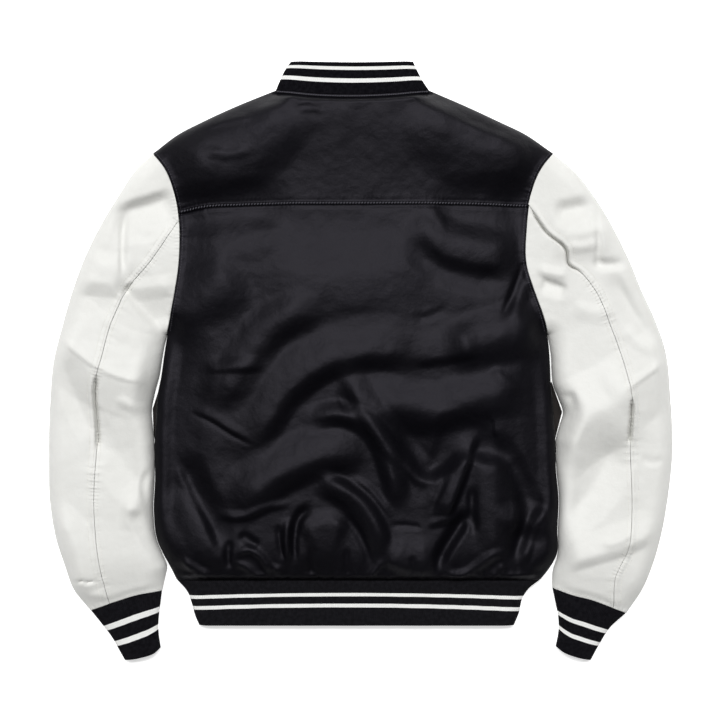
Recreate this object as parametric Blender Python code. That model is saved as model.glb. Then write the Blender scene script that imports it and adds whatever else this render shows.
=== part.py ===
"""A varsity jacket lying face down on a flat surface, back up, collar towards +Y.

Every cloth piece is a wall: a grid of outer points and the same grid set in by the cloth's thickness.
The seams are shared lines, so the pieces on both sides of a seam take their edge points from one curve.
Tables are in millimetres, seen from above: x to the jacket's right-hand side, y to its collar.
"""
import math

import bmesh
import bpy
import numpy as np

MM = 0.001

# Cloth
SHELL = 2.2            # body and sleeve cloth, with its seam allowances
KNIT = 2.6             # ribbed collar, cuffs and hem
SEAM_GAP = 0.3         # between pieces that are sewn together
HALF_GAP = SEAM_GAP / 2

# Height of the laid jacket
FOLD_Z = 8.0           # the outline's height, where the back turns under to the fronts
UNDER_ROUND = 8.0      # radius with which the underside meets the surface
TOP_ROUND = 46.0       # most distance over which the back rounds up from the outline
RIB_ROUND = 11.0       # least distance over which it does
EDGE_BEND = 4.5        # bending radius at the outline
BODY_CROWN = 37.0
SLEEVE_CROWN = 34.0
ARMHOLE_Z = 27.0       # height of the armhole seam
NECK_Z = 18.5          # height of the ribs' seams
HEM_Z = 18.0
CUFF_Z = 20.0
COLLAR_END_Z = 17.5    # height of the ribs at their open ends
HEM_END_Z = 17.0
CUFF_END_Z = 17.5
FOLD_FADE = 26.0       # folds die out this close to the outline
RIB_FADE = 15.0        # and this close to a rib's seam
FOLD_MIN_WIDTH = 13.0  # narrower folds are left to the finish
FOLD_ENDS = 0.22       # share of its line over which a fold fades out at each end
ARMHOLE_SPREAD = 32.0  # how far from the seams the back and sleeves sink towards them
NECK_SPREAD = 34.0
HEM_SPREAD = 24.0
CUFF_SPREAD = 32.0
COLLAR_WIDTH = 38.0
CUFF_WIDTH = 60.0

# Front edges: the left front lies under the right one, as it is the outer one when worn
CENTRE_X = -8.0
OVERLAP = 20.0         # each front passes the centre by this much
FRONT_WIDTH = 255.0    # from side seam to front edge
CAP_RADIUS = 7.5
CAP_HEIGHT = 1.6
CAP_BEVEL = 0.5
CAP_COUNT = 6
CAP_FIRST_Y = 235.0
CAP_STEP = 95.0
CAP_SIDES = 14
LEFT_EDGE_LIFT = CAP_HEIGHT + SEAM_GAP
RIGHT_EDGE_LIFT = LEFT_EDGE_LIFT + KNIT + SEAM_GAP
LIFT_RAMP = 32.0       # distance over which an edge rises to its lift
PLACKET_SHIFT = 12.0   # the right edge's lift starts this far before the left front's edge
WELT = 2.4             # thickness of a pocket welt
WELT_LIFT = WELT + SEAM_GAP
WELT_REACH = 20.0      # the front stays lifted this far round a welt
WELT_RAMP = 28.0

# Outline of the back, half by half: (x, y)
SHOULDER = {
    "left": [(-261, 260), (-229, 284), (-200, 299), (-145, 324), (-107.5, 339)],
    "right": [(241, 260), (206, 284), (175, 299), (121, 324), (86, 339)],
}
ARMHOLE = {
    "left": [(-261, 260), (-244, 239), (-232.5, 209), (-226, 164), (-226, 134), (-231, 89), (-239, 48),
             (-243, 32)],
    "right": [(241, 260), (224, 239), (212.5, 209), (206, 164), (206, 119), (215, 89), (226, 59),
              (234, 32)],
}
SIDE = {
    "left": [(-243, 32), (-247, 6), (-250.5, -19), (-255, -42), (-257, -74), (-258, -99), (-257.5, -149),
             (-259, -190), (-254.5, -225), (-247, -242), (-239.5, -257), (-231, -274)],
    "right": [(234, 32), (236.5, 6), (237.5, -16), (238, -29), (240.5, -48), (242, -74), (243, -100),
              (244, -136), (247, -172), (245.5, -211), (244.5, -243), (236, -260), (225, -274)],
}
NECK_BACK = [(-107.5, 339), (-60, 334), (-14, 332.5), (40, 334.5), (86, 339)]
NECK_FRONT = {
    "left": [(-107.5, 339), (-98, 306), (-74, 279), (-40, 266), (12, 264)],
    "right": [(86, 339), (79, 306), (56, 279), (22, 266), (-28, 264)],
}
YOKE_SEAM = [(-226.5, 187.5), (-201, 193), (-151, 196), (-14, 197.5), (149, 197), (208, 195)]

# Sleeves: the outline away from the body, the one beside it, and the seam down the back of the arm
SLEEVE_OUTER = {
    "left": [(-261, 260), (-282.5, 239), (-302.5, 209), (-321, 179), (-344, 134), (-361, 89), (-374, 44),
             (-385, -1), (-389, -46), (-391, -120), (-389, -181), (-381, -226), (-371, -256), (-360, -286),
             (-339, -312.5)],
    "right": [(241, 260), (266, 239), (290, 209), (309, 179), (325, 149), (339, 119), (351, 89), (365, 59),
              (381, 14), (387.5, -46), (390, -115), (385, -166), (374, -226), (365, -256), (352.5, -286),
              (332.5, -316)],
}
SLEEVE_INNER = {
    "left": [(-243, 32), (-246, 20), (-248.5, 6), (-252.5, -19), (-259.5, -42), (-263.5, -62), (-262, -80),
             (-260, -99), (-259.5, -149), (-261, -190), (-256.5, -225), (-249, -243), (-243, -257),
             (-245, -270), (-249, -287.5)],
    "right": [(234, 32), (236.2, 20), (238, 6), (239, -16), (240.5, -29), (248, -46), (254.5, -65),
              (250, -80), (245.5, -96), (245.5, -136), (249, -172), (247.5, -211), (246.5, -245),
              (240, -264), (239.5, -284)],
}
ARM_SEAM = {
    "left": [(-228.7, 172.5), (-264, 120), (-291, 88), (-301, 67), (-310, 45), (-322.5, -5), (-328, -24),
             (-328, -102), (-331, -180), (-325, -249), (-317.5, -286), (-313.5, -303)],
    "right": [(208, 195), (230, 161), (255, 136), (258, 120), (271, 111), (290, 88), (309, 44), (326, -6),
              (335, -51), (334, -105), (334, -211), (330, -236), (316, -267.5), (315, -309)],
}
CUFF_SEAM = {
    "left": [(-339, -312.5), (-307.5, -301), (-276, -291.5), (-249, -287.5)],
    "right": [(332.5, -316), (311, -307), (286, -298), (267.5, -293.5), (239.5, -284)],
}
CUFF_OUTER = {
    "left": [(-339, -312.5), (-324, -331), (-314, -344), (-304, -361), (-296, -375)],
    "right": [(332.5, -316), (311, -336), (299, -355), (288, -375)],
}
CUFF_INNER = {
    "left": [(-249, -287.5), (-251.5, -307.5), (-253.5, -324), (-253.5, -341), (-251, -359)],
    "right": [(239.5, -284), (244, -305), (247, -320), (247.5, -338), (244, -357.5)],
}
CUFF_END = {
    "left": [(-296, -375), (-276, -371.5), (-257.5, -365), (-251, -359)],
    "right": [(288, -375), (267.5, -370), (252.5, -364), (244, -357.5)],
}
HEM_SIDE = {
    "left": [(-231, -274), (-217.5, -290), (-212.5, -304), (-208, -320), (-203, -331)],
    "right": [(225, -274), (210, -286), (202.5, -298), (199, -314), (192, -331)],
}
COLLAR_SIDE = {
    "left": [(-107.5, 339), (-102.5, 351), (-95, 366), (-88.5, 375)],
    "right": [(86, 339), (78, 351), (71, 364), (66, 375)],
}
COLLAR_BACK_END = [(-88.5, 375), (-50, 374), (-11, 373.5), (30, 374), (66, 375)]
COLLAR_FRONT_END = {
    "left": [(-88.5, 375), (-80, 345), (-60, 318), (-34, 304), (12, 300)],
    "right": [(66, 375), (58, 345), (40, 318), (14, 304), (-28, 300)],
}
WELT_OUTLINE = {
    "left": [(-243, -30), (-255, -38), (-262, -60), (-261, -92), (-240, -198), (-215, -192), (-236, -92)],
    "right": [(227, -22), (240, -27), (253, -64), (245, -95), (224, -188), (199, -182), (219, -92)],
}

# Creases of the back and sleeves. Each runs along its line; left and right are the widths of its two flanks
# when one walks from the line's first point, and a negative height is a hollow.
# (name, height, left width, right width, line)
CREASES = [
    ("yoke_left", 5, 38, 42, [(-220, 245), (-164, 249), (-108, 264), (-64, 295)]),
    ("yoke_left_hollow", -2.5, 14, 14, [(-189, 292), (-130, 303), (-76, 311)]),
    ("under_yoke_left", -5, 30, 32, [(-226, 174), (-164, 182), (-101, 186)]),
    ("yoke_right", 6, 30, 45, [(86, 301), (149, 276), (212, 254)]),
    ("yoke_right_hollow", -4, 26, 20, [(86, 214), (149, 207), (212, 214)]),
    ("shoulder_blade", 6.5, 38, 24, [(59, 186), (105, 156), (155, 146), (206, 151)]),
    ("shoulder_blade_hollow", -4, 18, 44, [(86, 126), (149, 116), (205, 118)]),
    ("underarm_right", -4, 13, 13, [(204, 132), (186, 89), (170, 41)]),
    ("waist_arch", 8, 40, 22, [(-129, -99), (-124, -55), (-98, -14), (-51, 14), (11, 24), (86, 20), (149, 33),
                               (224, 54)]),
    ("arch_above_left", 5, 34, 17, [(-170, -18), (-147, 20), (-108, 54), (-64, 66)]),
    ("armhole_left", 4, 28, 18, [(-224, 32), (-207, 64), (-161, 99)]),
    ("pinch_left", 3.5, 13, 13, [(-207, -61), (-174, -79), (-136, -101)]),
    ("side_left", 6, 14, 24, [(-247, -146), (-216, -174), (-195, -209), (-182, -242), (-166, -267)]),
    ("side_left_hollow", -4, 22, 20, [(-229, -60), (-232, -100), (-222, -140), (-190, -180)]),
    ("swell_left", 9, 55, 17, [(-195, -180), (-139, -174), (-89, -146), (-39, -121), (9, -109)]),
    ("swell_left_hollow", -6, 16, 22, [(-170, -199), (-101, -186), (-39, -152), (14, -136)]),
    ("middle_slant", 8, 30, 15, [(-20, -21), (1, -64), (30, -102), (55, -136), (84, -156)]),
    ("middle_slant_hollow", -6, 14, 14, [(-51, -78), (-11, -84), (11, -111), (26, -149), (39, -184)]),
    ("swag_right", 7, 30, 18, [(1, -46), (42, -59), (86, -66), (136, -51), (199, -34)]),
    ("swag_right_hollow", -6, 18, 30, [(24, -68), (80, -99), (136, -80), (199, -67)]),
    ("peak_right", 9, 13, 18, [(127, -99), (117, -136), (102, -174), (89, -199)]),
    ("bow_right", 8, 22, 26, [(139, -111), (164, -139), (177, -171), (185, -211), (184, -239)]),
    ("bow_right_hollow", -5, 20, 20, [(180, -105), (205, -149), (215, -199), (211, -249)]),
    ("side_right", 4, 14, 14, [(230, -180), (214, -211), (205, -249), (192, -272)]),
    ("lower_slant", 7, 16, 13, [(-45, -144), (-14, -157), (11, -180), (30, -209), (45, -230)]),
    ("lower_slant_hollow", -6, 13, 13, [(-26, -171), (5, -199), (24, -234), (29, -267)]),
    ("dome_middle", 6, 36, 36, [(-32, -186), (-33, -215), (-34, -249)]),
    ("dome_hollow", -4, 13, 13, [(-39, -184), (-70, -209), (-79, -242)]),
    ("lens_right", 5, 26, 30, [(61, -180), (66, -215), (71, -249)]),
    ("pocket_right", -8, 13, 13, [(136, -189), (117, -217), (101, -249), (94, -268)]),
    ("gather_right", 4, 13, 13, [(101, -249), (126, -258), (151, -250), (184, -235)]),
    ("gather_left", 4, 13, 13, [(-159, -249), (-142, -237), (-124, -242), (-109, -255), (-86, -254)]),
    ("gather_left_upright", 5, 13, 13, [(-91, -196), (-95, -230), (-85, -254)]),
    ("sleeve_left_cap", -3.5, 13, 13, [(-307, 194), (-276, 195), (-242, 210)]),
    ("sleeve_left_wedge", 3.5, 20, 13, [(-357, 91), (-326, 100), (-295, 96)]),
    ("sleeve_left_fan", 4, 22, 24, [(-289, 90), (-262, 92), (-233, 91)]),
    ("sleeve_left_pinch", -4, 13, 13, [(-292, 97), (-288, 78)]),
    ("sleeve_left_elbow", -4.5, 13, 18, [(-376, 32), (-357, 10), (-326, -8), (-282, -24)]),
    ("sleeve_left_forearm", -4, 46, 15, [(-326, -104), (-307, -114), (-297, -136), (-268, -158)]),
    ("sleeve_left_lower", 3.5, 40, 35, [(-379, -199), (-354, -218), (-276, -220)]),
    ("sleeve_right_cap", -3.5, 13, 13, [(260, 186), (279, 191), (297, 201)]),
    ("sleeve_right_square", 4, 20, 13, [(252, 160), (280, 164), (304, 164)]),
    ("sleeve_right_pinch", -4, 13, 13, [(250, 118), (268, 107)]),
    ("sleeve_right_upper", -3.5, 14, 14, [(321, 99), (339, 64), (367, 26)]),
    ("sleeve_right_elbow", 5, 30, 40, [(252, -78), (286, -54), (334, -47), (355, -30), (384, -6)]),
    ("sleeve_right_forearm", -4.5, 42, 13, [(249, -198), (280, -174), (307, -142), (334, -107), (374, -49)]),
    ("sleeve_right_lower", -4.5, 15, 13, [(256, -250), (299, -246), (330, -236), (374, -211)]),
]

# Where the grids have their lines: millimetres in from an edge, then even steps
EDGE_STEPS = [0, 2, 6, 13, 24, 38]
NECK_STEPS = [6, 22]
UNDER_STEPS = [0, 1, 3, 8, 26, 52]
BODY_MIDDLE_STEPS = {"shoulder": 5, "neck": 9}
BODY_ROWS = 22
SHOULDER_SHARES = [0, 0.012, 0.035, 0.092, 0.2, 0.36, 0.6, 1]     # armhole, shoulder to yoke seam
ARMHOLE_SHARES = [0, 0.09, 0.23, 0.39, 0.56, 0.72, 0.85, 0.935, 0.979, 0.993, 1]  # yoke seam to underarm
SLEEVE_SHARES = [0.02, 0.06, 0.12, 0.20, 0.28, 0.36, 0.44, 0.53, 0.62, 0.71, 0.80, 0.90, 1]  # below it
UNDER_SLEEVE_COLUMNS = [0, 0.35, 0.6, 0.79, 0.9, 0.962, 0.987, 1]
NECKLINE_SHARES = [0, 0.0143, 0.043, 0.114, 0.32, 0.6, 1]         # neck corner to the neckline's bend
NECKLINE_BEND = 0.46                                              # where that is along the neckline
BEND_COLUMN = 0.66                                                # and across the front
FRONT_ROWS = 13
FRONT_MIDDLE_STEPS = 3
FRONT_NECK_STEPS = 4
PLACKET_STEPS = [46, 24]
HEM_UNDER_STEPS = UNDER_STEPS + [100, 150]
HEM_ROWS = 3
COLLAR_ROWS = 3
CUFF_ROWS = 3
SEAM_TURN = 12.0       # the arm seam's row for the underarm lies this much above it
FAN_POWER = 3          # how the under piece's short first row opens out down the sleeve
WELT_BEVEL = 0.6
EDGE_TOUCH = 0.05      # a point this close to the outline is on it
PROBE = 1.0            # slopes at the outline are read this far inside it
SLOPE_STEP = 0.02

COLOURS = {
    "shell": ((0.020, 0.020, 0.024), 0.42),
    "sleeve": ((0.80, 0.80, 0.78), 0.50),
    "knit": ((0.016, 0.016, 0.019), 0.85),
    "welt": ((0.045, 0.022, 0.014), 0.30),
    "cap": ((0.03, 0.03, 0.03), 0.35),
}


# ---------------------------------------------------------------- lines

class Line:
    """A smooth line through a table of points, read by the share of its length from 0 to 1."""

    def __init__(self, table, per_span=24):
        points = np.array(table, float)
        knots = np.concatenate([[0], np.cumsum(np.linalg.norm(np.diff(points, axis=0), axis=1))])
        slopes = np.gradient(points, knots, axis=0)
        places = np.unique(np.concatenate(
            [np.linspace(knots[k], knots[k + 1], per_span) for k in range(len(knots) - 1)]))
        span = np.clip(np.searchsorted(knots, places, side="right") - 1, 0, len(knots) - 2)
        length = (knots[span + 1] - knots[span])[:, None]
        t = ((places - knots[span])[:, None]) / length
        self.points = ((1 + 2 * t) * (1 - t) ** 2 * points[span]
                       + t * (1 - t) ** 2 * length * slopes[span]
                       + t ** 2 * (3 - 2 * t) * points[span + 1]
                       + t ** 2 * (t - 1) * length * slopes[span + 1])
        steps = np.linalg.norm(np.diff(self.points, axis=0), axis=1)
        self.length = steps.sum()
        self.share = np.concatenate([[0], np.cumsum(steps)]) / self.length

    def __call__(self, share):
        share = np.asarray(share, float)
        return np.stack([np.interp(share, self.share, self.points[:, k]) for k in range(2)], axis=-1)

    def share_at_y(self, y):
        """Where a line that runs steadily down passes a given y."""
        return float(np.interp(-y, -self.points[:, 1], self.share))


SIDES = ("left", "right")
LINES = {name: {side: Line(table[side]) for side in SIDES} for name, table in {
    "shoulder": SHOULDER, "armhole": ARMHOLE, "side": SIDE, "neck_front": NECK_FRONT,
    "sleeve_outer": SLEEVE_OUTER, "sleeve_inner": SLEEVE_INNER, "arm_seam": ARM_SEAM,
    "cuff_seam": CUFF_SEAM, "cuff_outer": CUFF_OUTER, "cuff_inner": CUFF_INNER, "cuff_end": CUFF_END,
    "hem_side": HEM_SIDE, "collar_side": COLLAR_SIDE, "collar_front_end": COLLAR_FRONT_END}.items()}
NECK = Line(NECK_BACK)
YOKE = Line(YOKE_SEAM)
COLLAR_END = Line(COLLAR_BACK_END)
UNDERARM_Y = SIDE["left"][0][1]
HEM_Y = SIDE["left"][-1][1]
HEM_END_Y = HEM_SIDE["left"][-1][1]


def distance_to(lines, xy):
    """Distance from each point to the nearest of the lines."""
    flat = xy.reshape(-1, 2)
    best = np.full(len(flat), 1e9)
    for line in lines:
        a, b = line.points[:-1], line.points[1:]
        along = b - a
        size = np.maximum((along ** 2).sum(1), 1e-9)
        t = np.clip(((flat[:, None] - a) * along).sum(2) / size, 0, 1)
        gap = flat[:, None] - (a + t[..., None] * along)
        best = np.minimum(best, np.sqrt((gap ** 2).sum(2)).min(1))
    return best.reshape(xy.shape[:-1])


OUTLINE = [LINES[name][side] for side in SIDES
           for name in ("shoulder", "side", "sleeve_outer", "sleeve_inner", "cuff_outer", "cuff_inner",
                        "hem_side", "collar_side")]
ARMHOLES = [LINES["armhole"][side] for side in SIDES]
CUFFS = [LINES["cuff_seam"][side] for side in SIDES]


# ---------------------------------------------------------------- heights

def rise(distance, reach):
    """A quarter round: 0 at the edge, 1 at its reach and past it."""
    inward = 1 - np.clip(distance / reach, 0, 1)
    return np.sqrt(np.clip(1 - inward ** 2, 0, 1))


def ease(value):
    value = np.clip(value, 0, 1)
    return value * value * (3 - 2 * value)


def near(distance, width):
    return np.exp(-(distance / width) ** 2)


def crease(xy, height, left, right, table):
    """One ridge or hollow: round in section, and fading out at both ends of its line."""
    line = Line(table, per_span=10)
    flat = xy.reshape(-1, 2)
    a, b = line.points[:-1], line.points[1:]
    along = b - a
    steps = np.linalg.norm(along, axis=1)
    direction = along / steps[:, None]
    offset = flat[:, None] - a
    t = np.clip((offset * direction).sum(2), 0, steps)
    gap = np.linalg.norm(offset - t[..., None] * direction, axis=2)
    pick = gap.argmin(1)
    rows = np.arange(len(flat))
    place = (np.concatenate([[0], np.cumsum(steps)])[pick] + t[rows, pick]) / line.length
    turn = direction[pick, 0] * offset[rows, pick, 1] - direction[pick, 1] * offset[rows, pick, 0]
    width = np.where(turn > 0, max(left, FOLD_MIN_WIDTH), max(right, FOLD_MIN_WIDTH))
    across = (1 - np.clip(gap[rows, pick] / width, 0, 1) ** 2) ** 2
    ends = ease(place / FOLD_ENDS) * ease((1 - place) / FOLD_ENDS) * 0.75 + 0.25
    return (height * across * ends).reshape(xy.shape[:-1])


def crease_height(xy):
    """All creases together, faded out towards the outline and the ribs."""
    total = sum(crease(xy, *row[1:]) for row in CREASES)
    to_rib = np.minimum(np.minimum(distance_to([NECK], xy), np.abs(xy[..., 1] - HEM_Y)),
                        distance_to(CUFFS, xy))
    return total * ease(distance_to(OUTLINE, xy) / FOLD_FADE) * ease(to_rib / RIB_FADE)


def round_up(xy, top):
    """An upper side that reaches its top past a round along the outline."""
    reach = np.clip((top - FOLD_Z) ** 2 / EDGE_BEND, RIB_ROUND, TOP_ROUND)
    return FOLD_Z + (top - FOLD_Z) * rise(distance_to(OUTLINE, xy), reach)


def armhole_drop(xy, crown):
    return (crown - ARMHOLE_Z) * near(distance_to(ARMHOLES, xy), ARMHOLE_SPREAD)


def body_top(xy):
    """The back without its creases: lower at the armholes, the neck and the hem."""
    return round_up(xy, BODY_CROWN - armhole_drop(xy, BODY_CROWN)
                    - (BODY_CROWN - NECK_Z) * near(distance_to([NECK], xy), NECK_SPREAD)
                    - (BODY_CROWN - HEM_Z) * near(xy[..., 1] - HEM_Y, HEM_SPREAD))


def sleeve_top(xy):
    """The sleeves without their creases: lower at the armholes and the cuffs."""
    return round_up(xy, SLEEVE_CROWN - armhole_drop(xy, SLEEVE_CROWN)
                    - (SLEEVE_CROWN - CUFF_Z) * near(distance_to(CUFFS, xy), CUFF_SPREAD))


def collar_top(xy):
    return round_up(xy, NECK_Z + (COLLAR_END_Z - NECK_Z) * ease(distance_to([NECK], xy) / COLLAR_WIDTH))


def hem_top(xy):
    return round_up(xy, HEM_Z + (HEM_END_Z - HEM_Z) * ease((HEM_Y - xy[..., 1]) / (HEM_Y - HEM_END_Y)))


def cuff_top(xy):
    return round_up(xy, CUFF_Z + (CUFF_END_Z - CUFF_Z) * ease(distance_to(CUFFS, xy) / CUFF_WIDTH))


def inside_distance(xy, table):
    """Distance outside a welt's outline, 0 within it."""
    corners = np.array(table, float)
    x, y = xy[..., 0], xy[..., 1]
    inside = np.zeros(x.shape, bool)
    for (x0, y0), (x1, y1) in zip(corners, np.roll(corners, -1, axis=0)):
        crosses = (y0 > y) != (y1 > y)
        inside ^= crosses & (x < (x1 - x0) * (y - y0) / (y1 - y0 + 1e-9) + x0)
    border = Line(np.vstack([corners, corners[:1]]), per_span=6)
    return np.where(inside, 0, distance_to([border], xy))


def under_height(xy, side):
    """The fronts' underside: flat on the surface, lifted over the caps, the other front and the welts."""
    x = xy[..., 0]
    if side == "left":
        edge = LEFT_EDGE_LIFT * ease((x - (CENTRE_X - OVERLAP) + LIFT_RAMP) / LIFT_RAMP)
    else:
        edge = RIGHT_EDGE_LIFT * ease(((CENTRE_X + OVERLAP) + PLACKET_SHIFT + LIFT_RAMP - x) / LIFT_RAMP)
    welt = WELT_LIFT * ease((WELT_REACH + WELT_RAMP - inside_distance(xy, WELT_OUTLINE[side])) / WELT_RAMP)
    flat = np.maximum(edge, welt)
    return flat + (FOLD_Z - flat) * (1 - rise(distance_to(OUTLINE, xy), UNDER_ROUND))


def left_under(xy):
    return under_height(xy, "left")


def right_under(xy):
    return under_height(xy, "right")


def sleeve_under(xy):
    return FOLD_Z * (1 - rise(distance_to(OUTLINE, xy), UNDER_ROUND))


UNDER = {"left": left_under, "right": right_under}


# ---------------------------------------------------------------- grids

def patch(start_side, end_side, first_row, last_row, across, down):
    """A grid that fills four lines: two sides, a first row and a last row."""
    u = np.asarray(across)[None, :, None]
    v = np.asarray(down)[:, None, None]
    corners = ((1 - u) * (1 - v) * first_row[0] + u * (1 - v) * first_row[-1]
               + (1 - u) * v * last_row[0] + u * v * last_row[-1])
    return ((1 - u) * start_side[:, None] + u * end_side[:, None]
            + (1 - v) * first_row[None] + v * last_row[None] - corners)


def unit(vectors):
    return vectors / np.maximum(np.linalg.norm(vectors, axis=-1, keepdims=True), 1e-9)


def trim_ways(xy, rows=(), columns=()):
    """Level ways into a piece from its butted edges, square to them and mitred where two of them meet."""
    ways = np.zeros_like(xy)
    turned = ways.transpose(1, 0, 2)
    for grid, target, edges in ((xy, ways, rows), (xy.transpose(1, 0, 2), turned, columns)):
        for edge, place in edges:
            inside = grid[1 if edge == 0 else -2, place] - grid[edge, place]
            along = unit(np.gradient(grid[edge, place], axis=0))
            way = unit(inside - (inside * along).sum(-1, keepdims=True) * along)
            before = target[edge, place]
            target[edge, place] = (before + way) / (1 + (before * way).sum(-1, keepdims=True))
    return ways


def inward_ways(xy, rows=(), columns=()):
    """From each point of an edge to its neighbour inside the piece."""
    ways = np.zeros_like(xy)
    for row in rows:
        ways[row] = xy[1 if row == 0 else -2] - xy[row]
    for column in columns:
        ways[:, column] = xy[:, 1 if column == 0 else -2] - xy[:, column]
    return ways


def sheet(xy, height, up, inward, trim, raised=None, lift=None):
    """One grid of a wall: its points, their normals and the height that its creases add."""
    touching = distance_to(OUTLINE, xy) < EDGE_TOUCH
    spots = xy + PROBE * unit(inward) * touching[..., None]
    slopes = [(height(spots + step) - height(spots - step)) / (2 * SLOPE_STEP)
              for step in (np.array([SLOPE_STEP, 0]), np.array([0, SLOPE_STEP]))]
    normals = np.stack([-slopes[0], -slopes[1], np.ones(xy.shape[:2])], axis=-1)
    normals = unit(normals if up else -normals)
    normals = np.where(touching[..., None], unit(normals * [1, 1, 0]), normals)
    across = np.concatenate([unit(trim), np.zeros(xy.shape[:2] + (1,))], axis=-1)
    normals = unit(normals - (normals * across).sum(-1, keepdims=True) * across)
    z = height(xy)
    if lift is not None:
        z = z + lift * touching
    points = np.concatenate([xy + HALF_GAP * trim, z[..., None]], axis=-1)
    creases = np.zeros(xy.shape[:2]) if raised is None else raised
    return points, normals, creases


# ---------------------------------------------------------------- meshes

def material(name, finish):
    colour, roughness = COLOURS[finish]
    made = bpy.data.materials.new(name)
    made.use_nodes = True
    shader = made.node_tree.nodes["Principled BSDF"]
    shader.inputs["Base Color"].default_value = (*colour, 1)
    shader.inputs["Roughness"].default_value = roughness
    return made


def add_object(name, vertices, faces, finish):
    mesh = bpy.data.meshes.new(name)
    mesh.from_pydata((np.asarray(vertices) * MM).tolist(), [], faces)
    mesh.materials.append(material(name, finish))
    made = bpy.data.objects.new(name, mesh)
    bpy.context.scene.collection.objects.link(made)
    return made


def face_outwards(made):
    """Turn the faces of a simple solid outwards."""
    shape = bmesh.new()
    shape.from_mesh(made.data)
    bmesh.ops.recalc_face_normals(shape, faces=shape.faces)
    shape.to_mesh(made.data)
    shape.free()


SPLITS = [[(0, 1, 2), (0, 2, 3)], [(0, 1, 3), (1, 2, 3)]]


def area(spots, half):
    a, b, c = [spots[k] for k in half]
    return np.linalg.norm(np.cross(b - a, c - a))


def wall(name, sheets, thickness, finish):
    """A cloth wall: welded outer grids, the same set in, and a rim along each open edge."""
    places, outer, inner, faces = {}, [], [], []
    for points, normals, creases in sheets:
        raised = np.array([0, 0, 1]) * creases[..., None]
        rows, columns = creases.shape
        numbers = np.zeros((rows, columns), int)
        for row in range(rows):
            for column in range(columns):
                spot = points[row, column]
                key = tuple(np.round(spot, 2))
                if key not in places:
                    places[key] = len(outer)
                    outer.append(spot + raised[row, column])
                    inner.append(spot - thickness * normals[row, column] + raised[row, column])
                numbers[row, column] = places[key]
        middle = (rows // 2, columns // 2)
        turn = np.cross(points[middle[0], middle[1]] - points[middle[0], middle[1] - 1],
                        points[middle[0], middle[1]] - points[middle[0] - 1, middle[1]])
        flip = (turn * normals[middle]).sum() < 0
        for row in range(rows - 1):
            for column in range(columns - 1):
                corners = [numbers[row, column], numbers[row, column + 1],
                           numbers[row + 1, column + 1], numbers[row + 1, column]]
                spots = [outer[corner] for corner in corners]
                halves = max(SPLITS, key=lambda split: min(area(spots, half) for half in split))
                for half in halves:
                    face = [int(corners[k]) for k in half]
                    faces.append(face[::-1] if flip else face)
    count = len(outer)
    edges = {(face[k], face[(k + 1) % 3]) for face in faces for k in range(3)}
    rims = [[b, a, a + count, b + count] for a, b in sorted(edges) if (b, a) not in edges]
    inside = [[corner + count for corner in reversed(face)] for face in faces]
    return add_object(name, outer + inner, faces + inside + rims, finish)


# ---------------------------------------------------------------- body

def body_columns():
    """Shares across the back, with lines at both neck corners."""
    left, right = SHOULDER["left"][0][0], SHOULDER["right"][0][0]
    width = right - left
    edge = np.array(EDGE_STEPS) / width
    corner = np.array([0] + NECK_STEPS) / width
    neck_left = (NECK_BACK[0][0] - left) / width
    neck_right = (NECK_BACK[-1][0] - left) / width
    first = np.linspace(edge[-1], neck_left, BODY_MIDDLE_STEPS["shoulder"] + 1)[1:-1]
    middle = np.linspace(neck_left + corner[-1], neck_right - corner[-1], BODY_MIDDLE_STEPS["neck"] + 1)[1:-1]
    last = np.linspace(neck_right, 1 - edge[-1], BODY_MIDDLE_STEPS["shoulder"] + 1)[1:-1]
    columns = np.concatenate([edge, first, neck_left + corner, middle, neck_right - corner[::-1], last,
                              1 - edge[::-1]])
    return columns, neck_left, neck_right


COLUMNS, NECK_LEFT, NECK_RIGHT = body_columns()
ON_NECK = (COLUMNS >= NECK_LEFT - 1e-6) & (COLUMNS <= NECK_RIGHT + 1e-6)
NECK_COLUMNS = np.flatnonzero(ON_NECK)


def top_edge():
    """The back's upper edge: left shoulder, neck, right shoulder."""
    points = np.zeros((len(COLUMNS), 2))
    before, after = COLUMNS < NECK_LEFT, COLUMNS > NECK_RIGHT
    points[before] = LINES["shoulder"]["left"](COLUMNS[before] / NECK_LEFT)
    points[ON_NECK] = NECK((COLUMNS[ON_NECK] - NECK_LEFT) / (NECK_RIGHT - NECK_LEFT))
    points[after] = LINES["shoulder"]["right"]((1 - COLUMNS[after]) / (1 - NECK_RIGHT))
    return points


def armhole_points(side):
    """An armhole's points from the shoulder to the underarm, and the yoke seam's place among them."""
    line = LINES["armhole"][side]
    seam = line.share_at_y(YOKE_SEAM[0 if side == "left" else -1][1])
    upper = np.array(SHOULDER_SHARES) * seam
    lower = seam + np.array(ARMHOLE_SHARES) * (1 - seam)
    return line(np.concatenate([upper, lower[1:]])), len(upper) - 1


def make_yoke():
    edges = []
    for side in SIDES:
        points, seam = armhole_points(side)
        edges.append(points[:seam + 1])
    xy = patch(edges[0], edges[1], top_edge(), YOKE(COLUMNS), COLUMNS, np.array(SHOULDER_SHARES))
    inward = inward_ways(xy, rows=[0])
    first, last = NECK_COLUMNS[0], NECK_COLUMNS[-1]
    inward[0, first] = xy[0, first + 1] - xy[0, first]
    inward[0, last] = xy[0, last - 1] - xy[0, last]
    every = slice(None)
    trim = trim_ways(xy, rows=[(0, slice(first, last + 1)), (-1, every)], columns=[(0, every), (-1, every)])
    wall("back_yoke", [sheet(xy, body_top, True, inward, trim, crease_height(xy), HALF_GAP)], SHELL, "shell")


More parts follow.
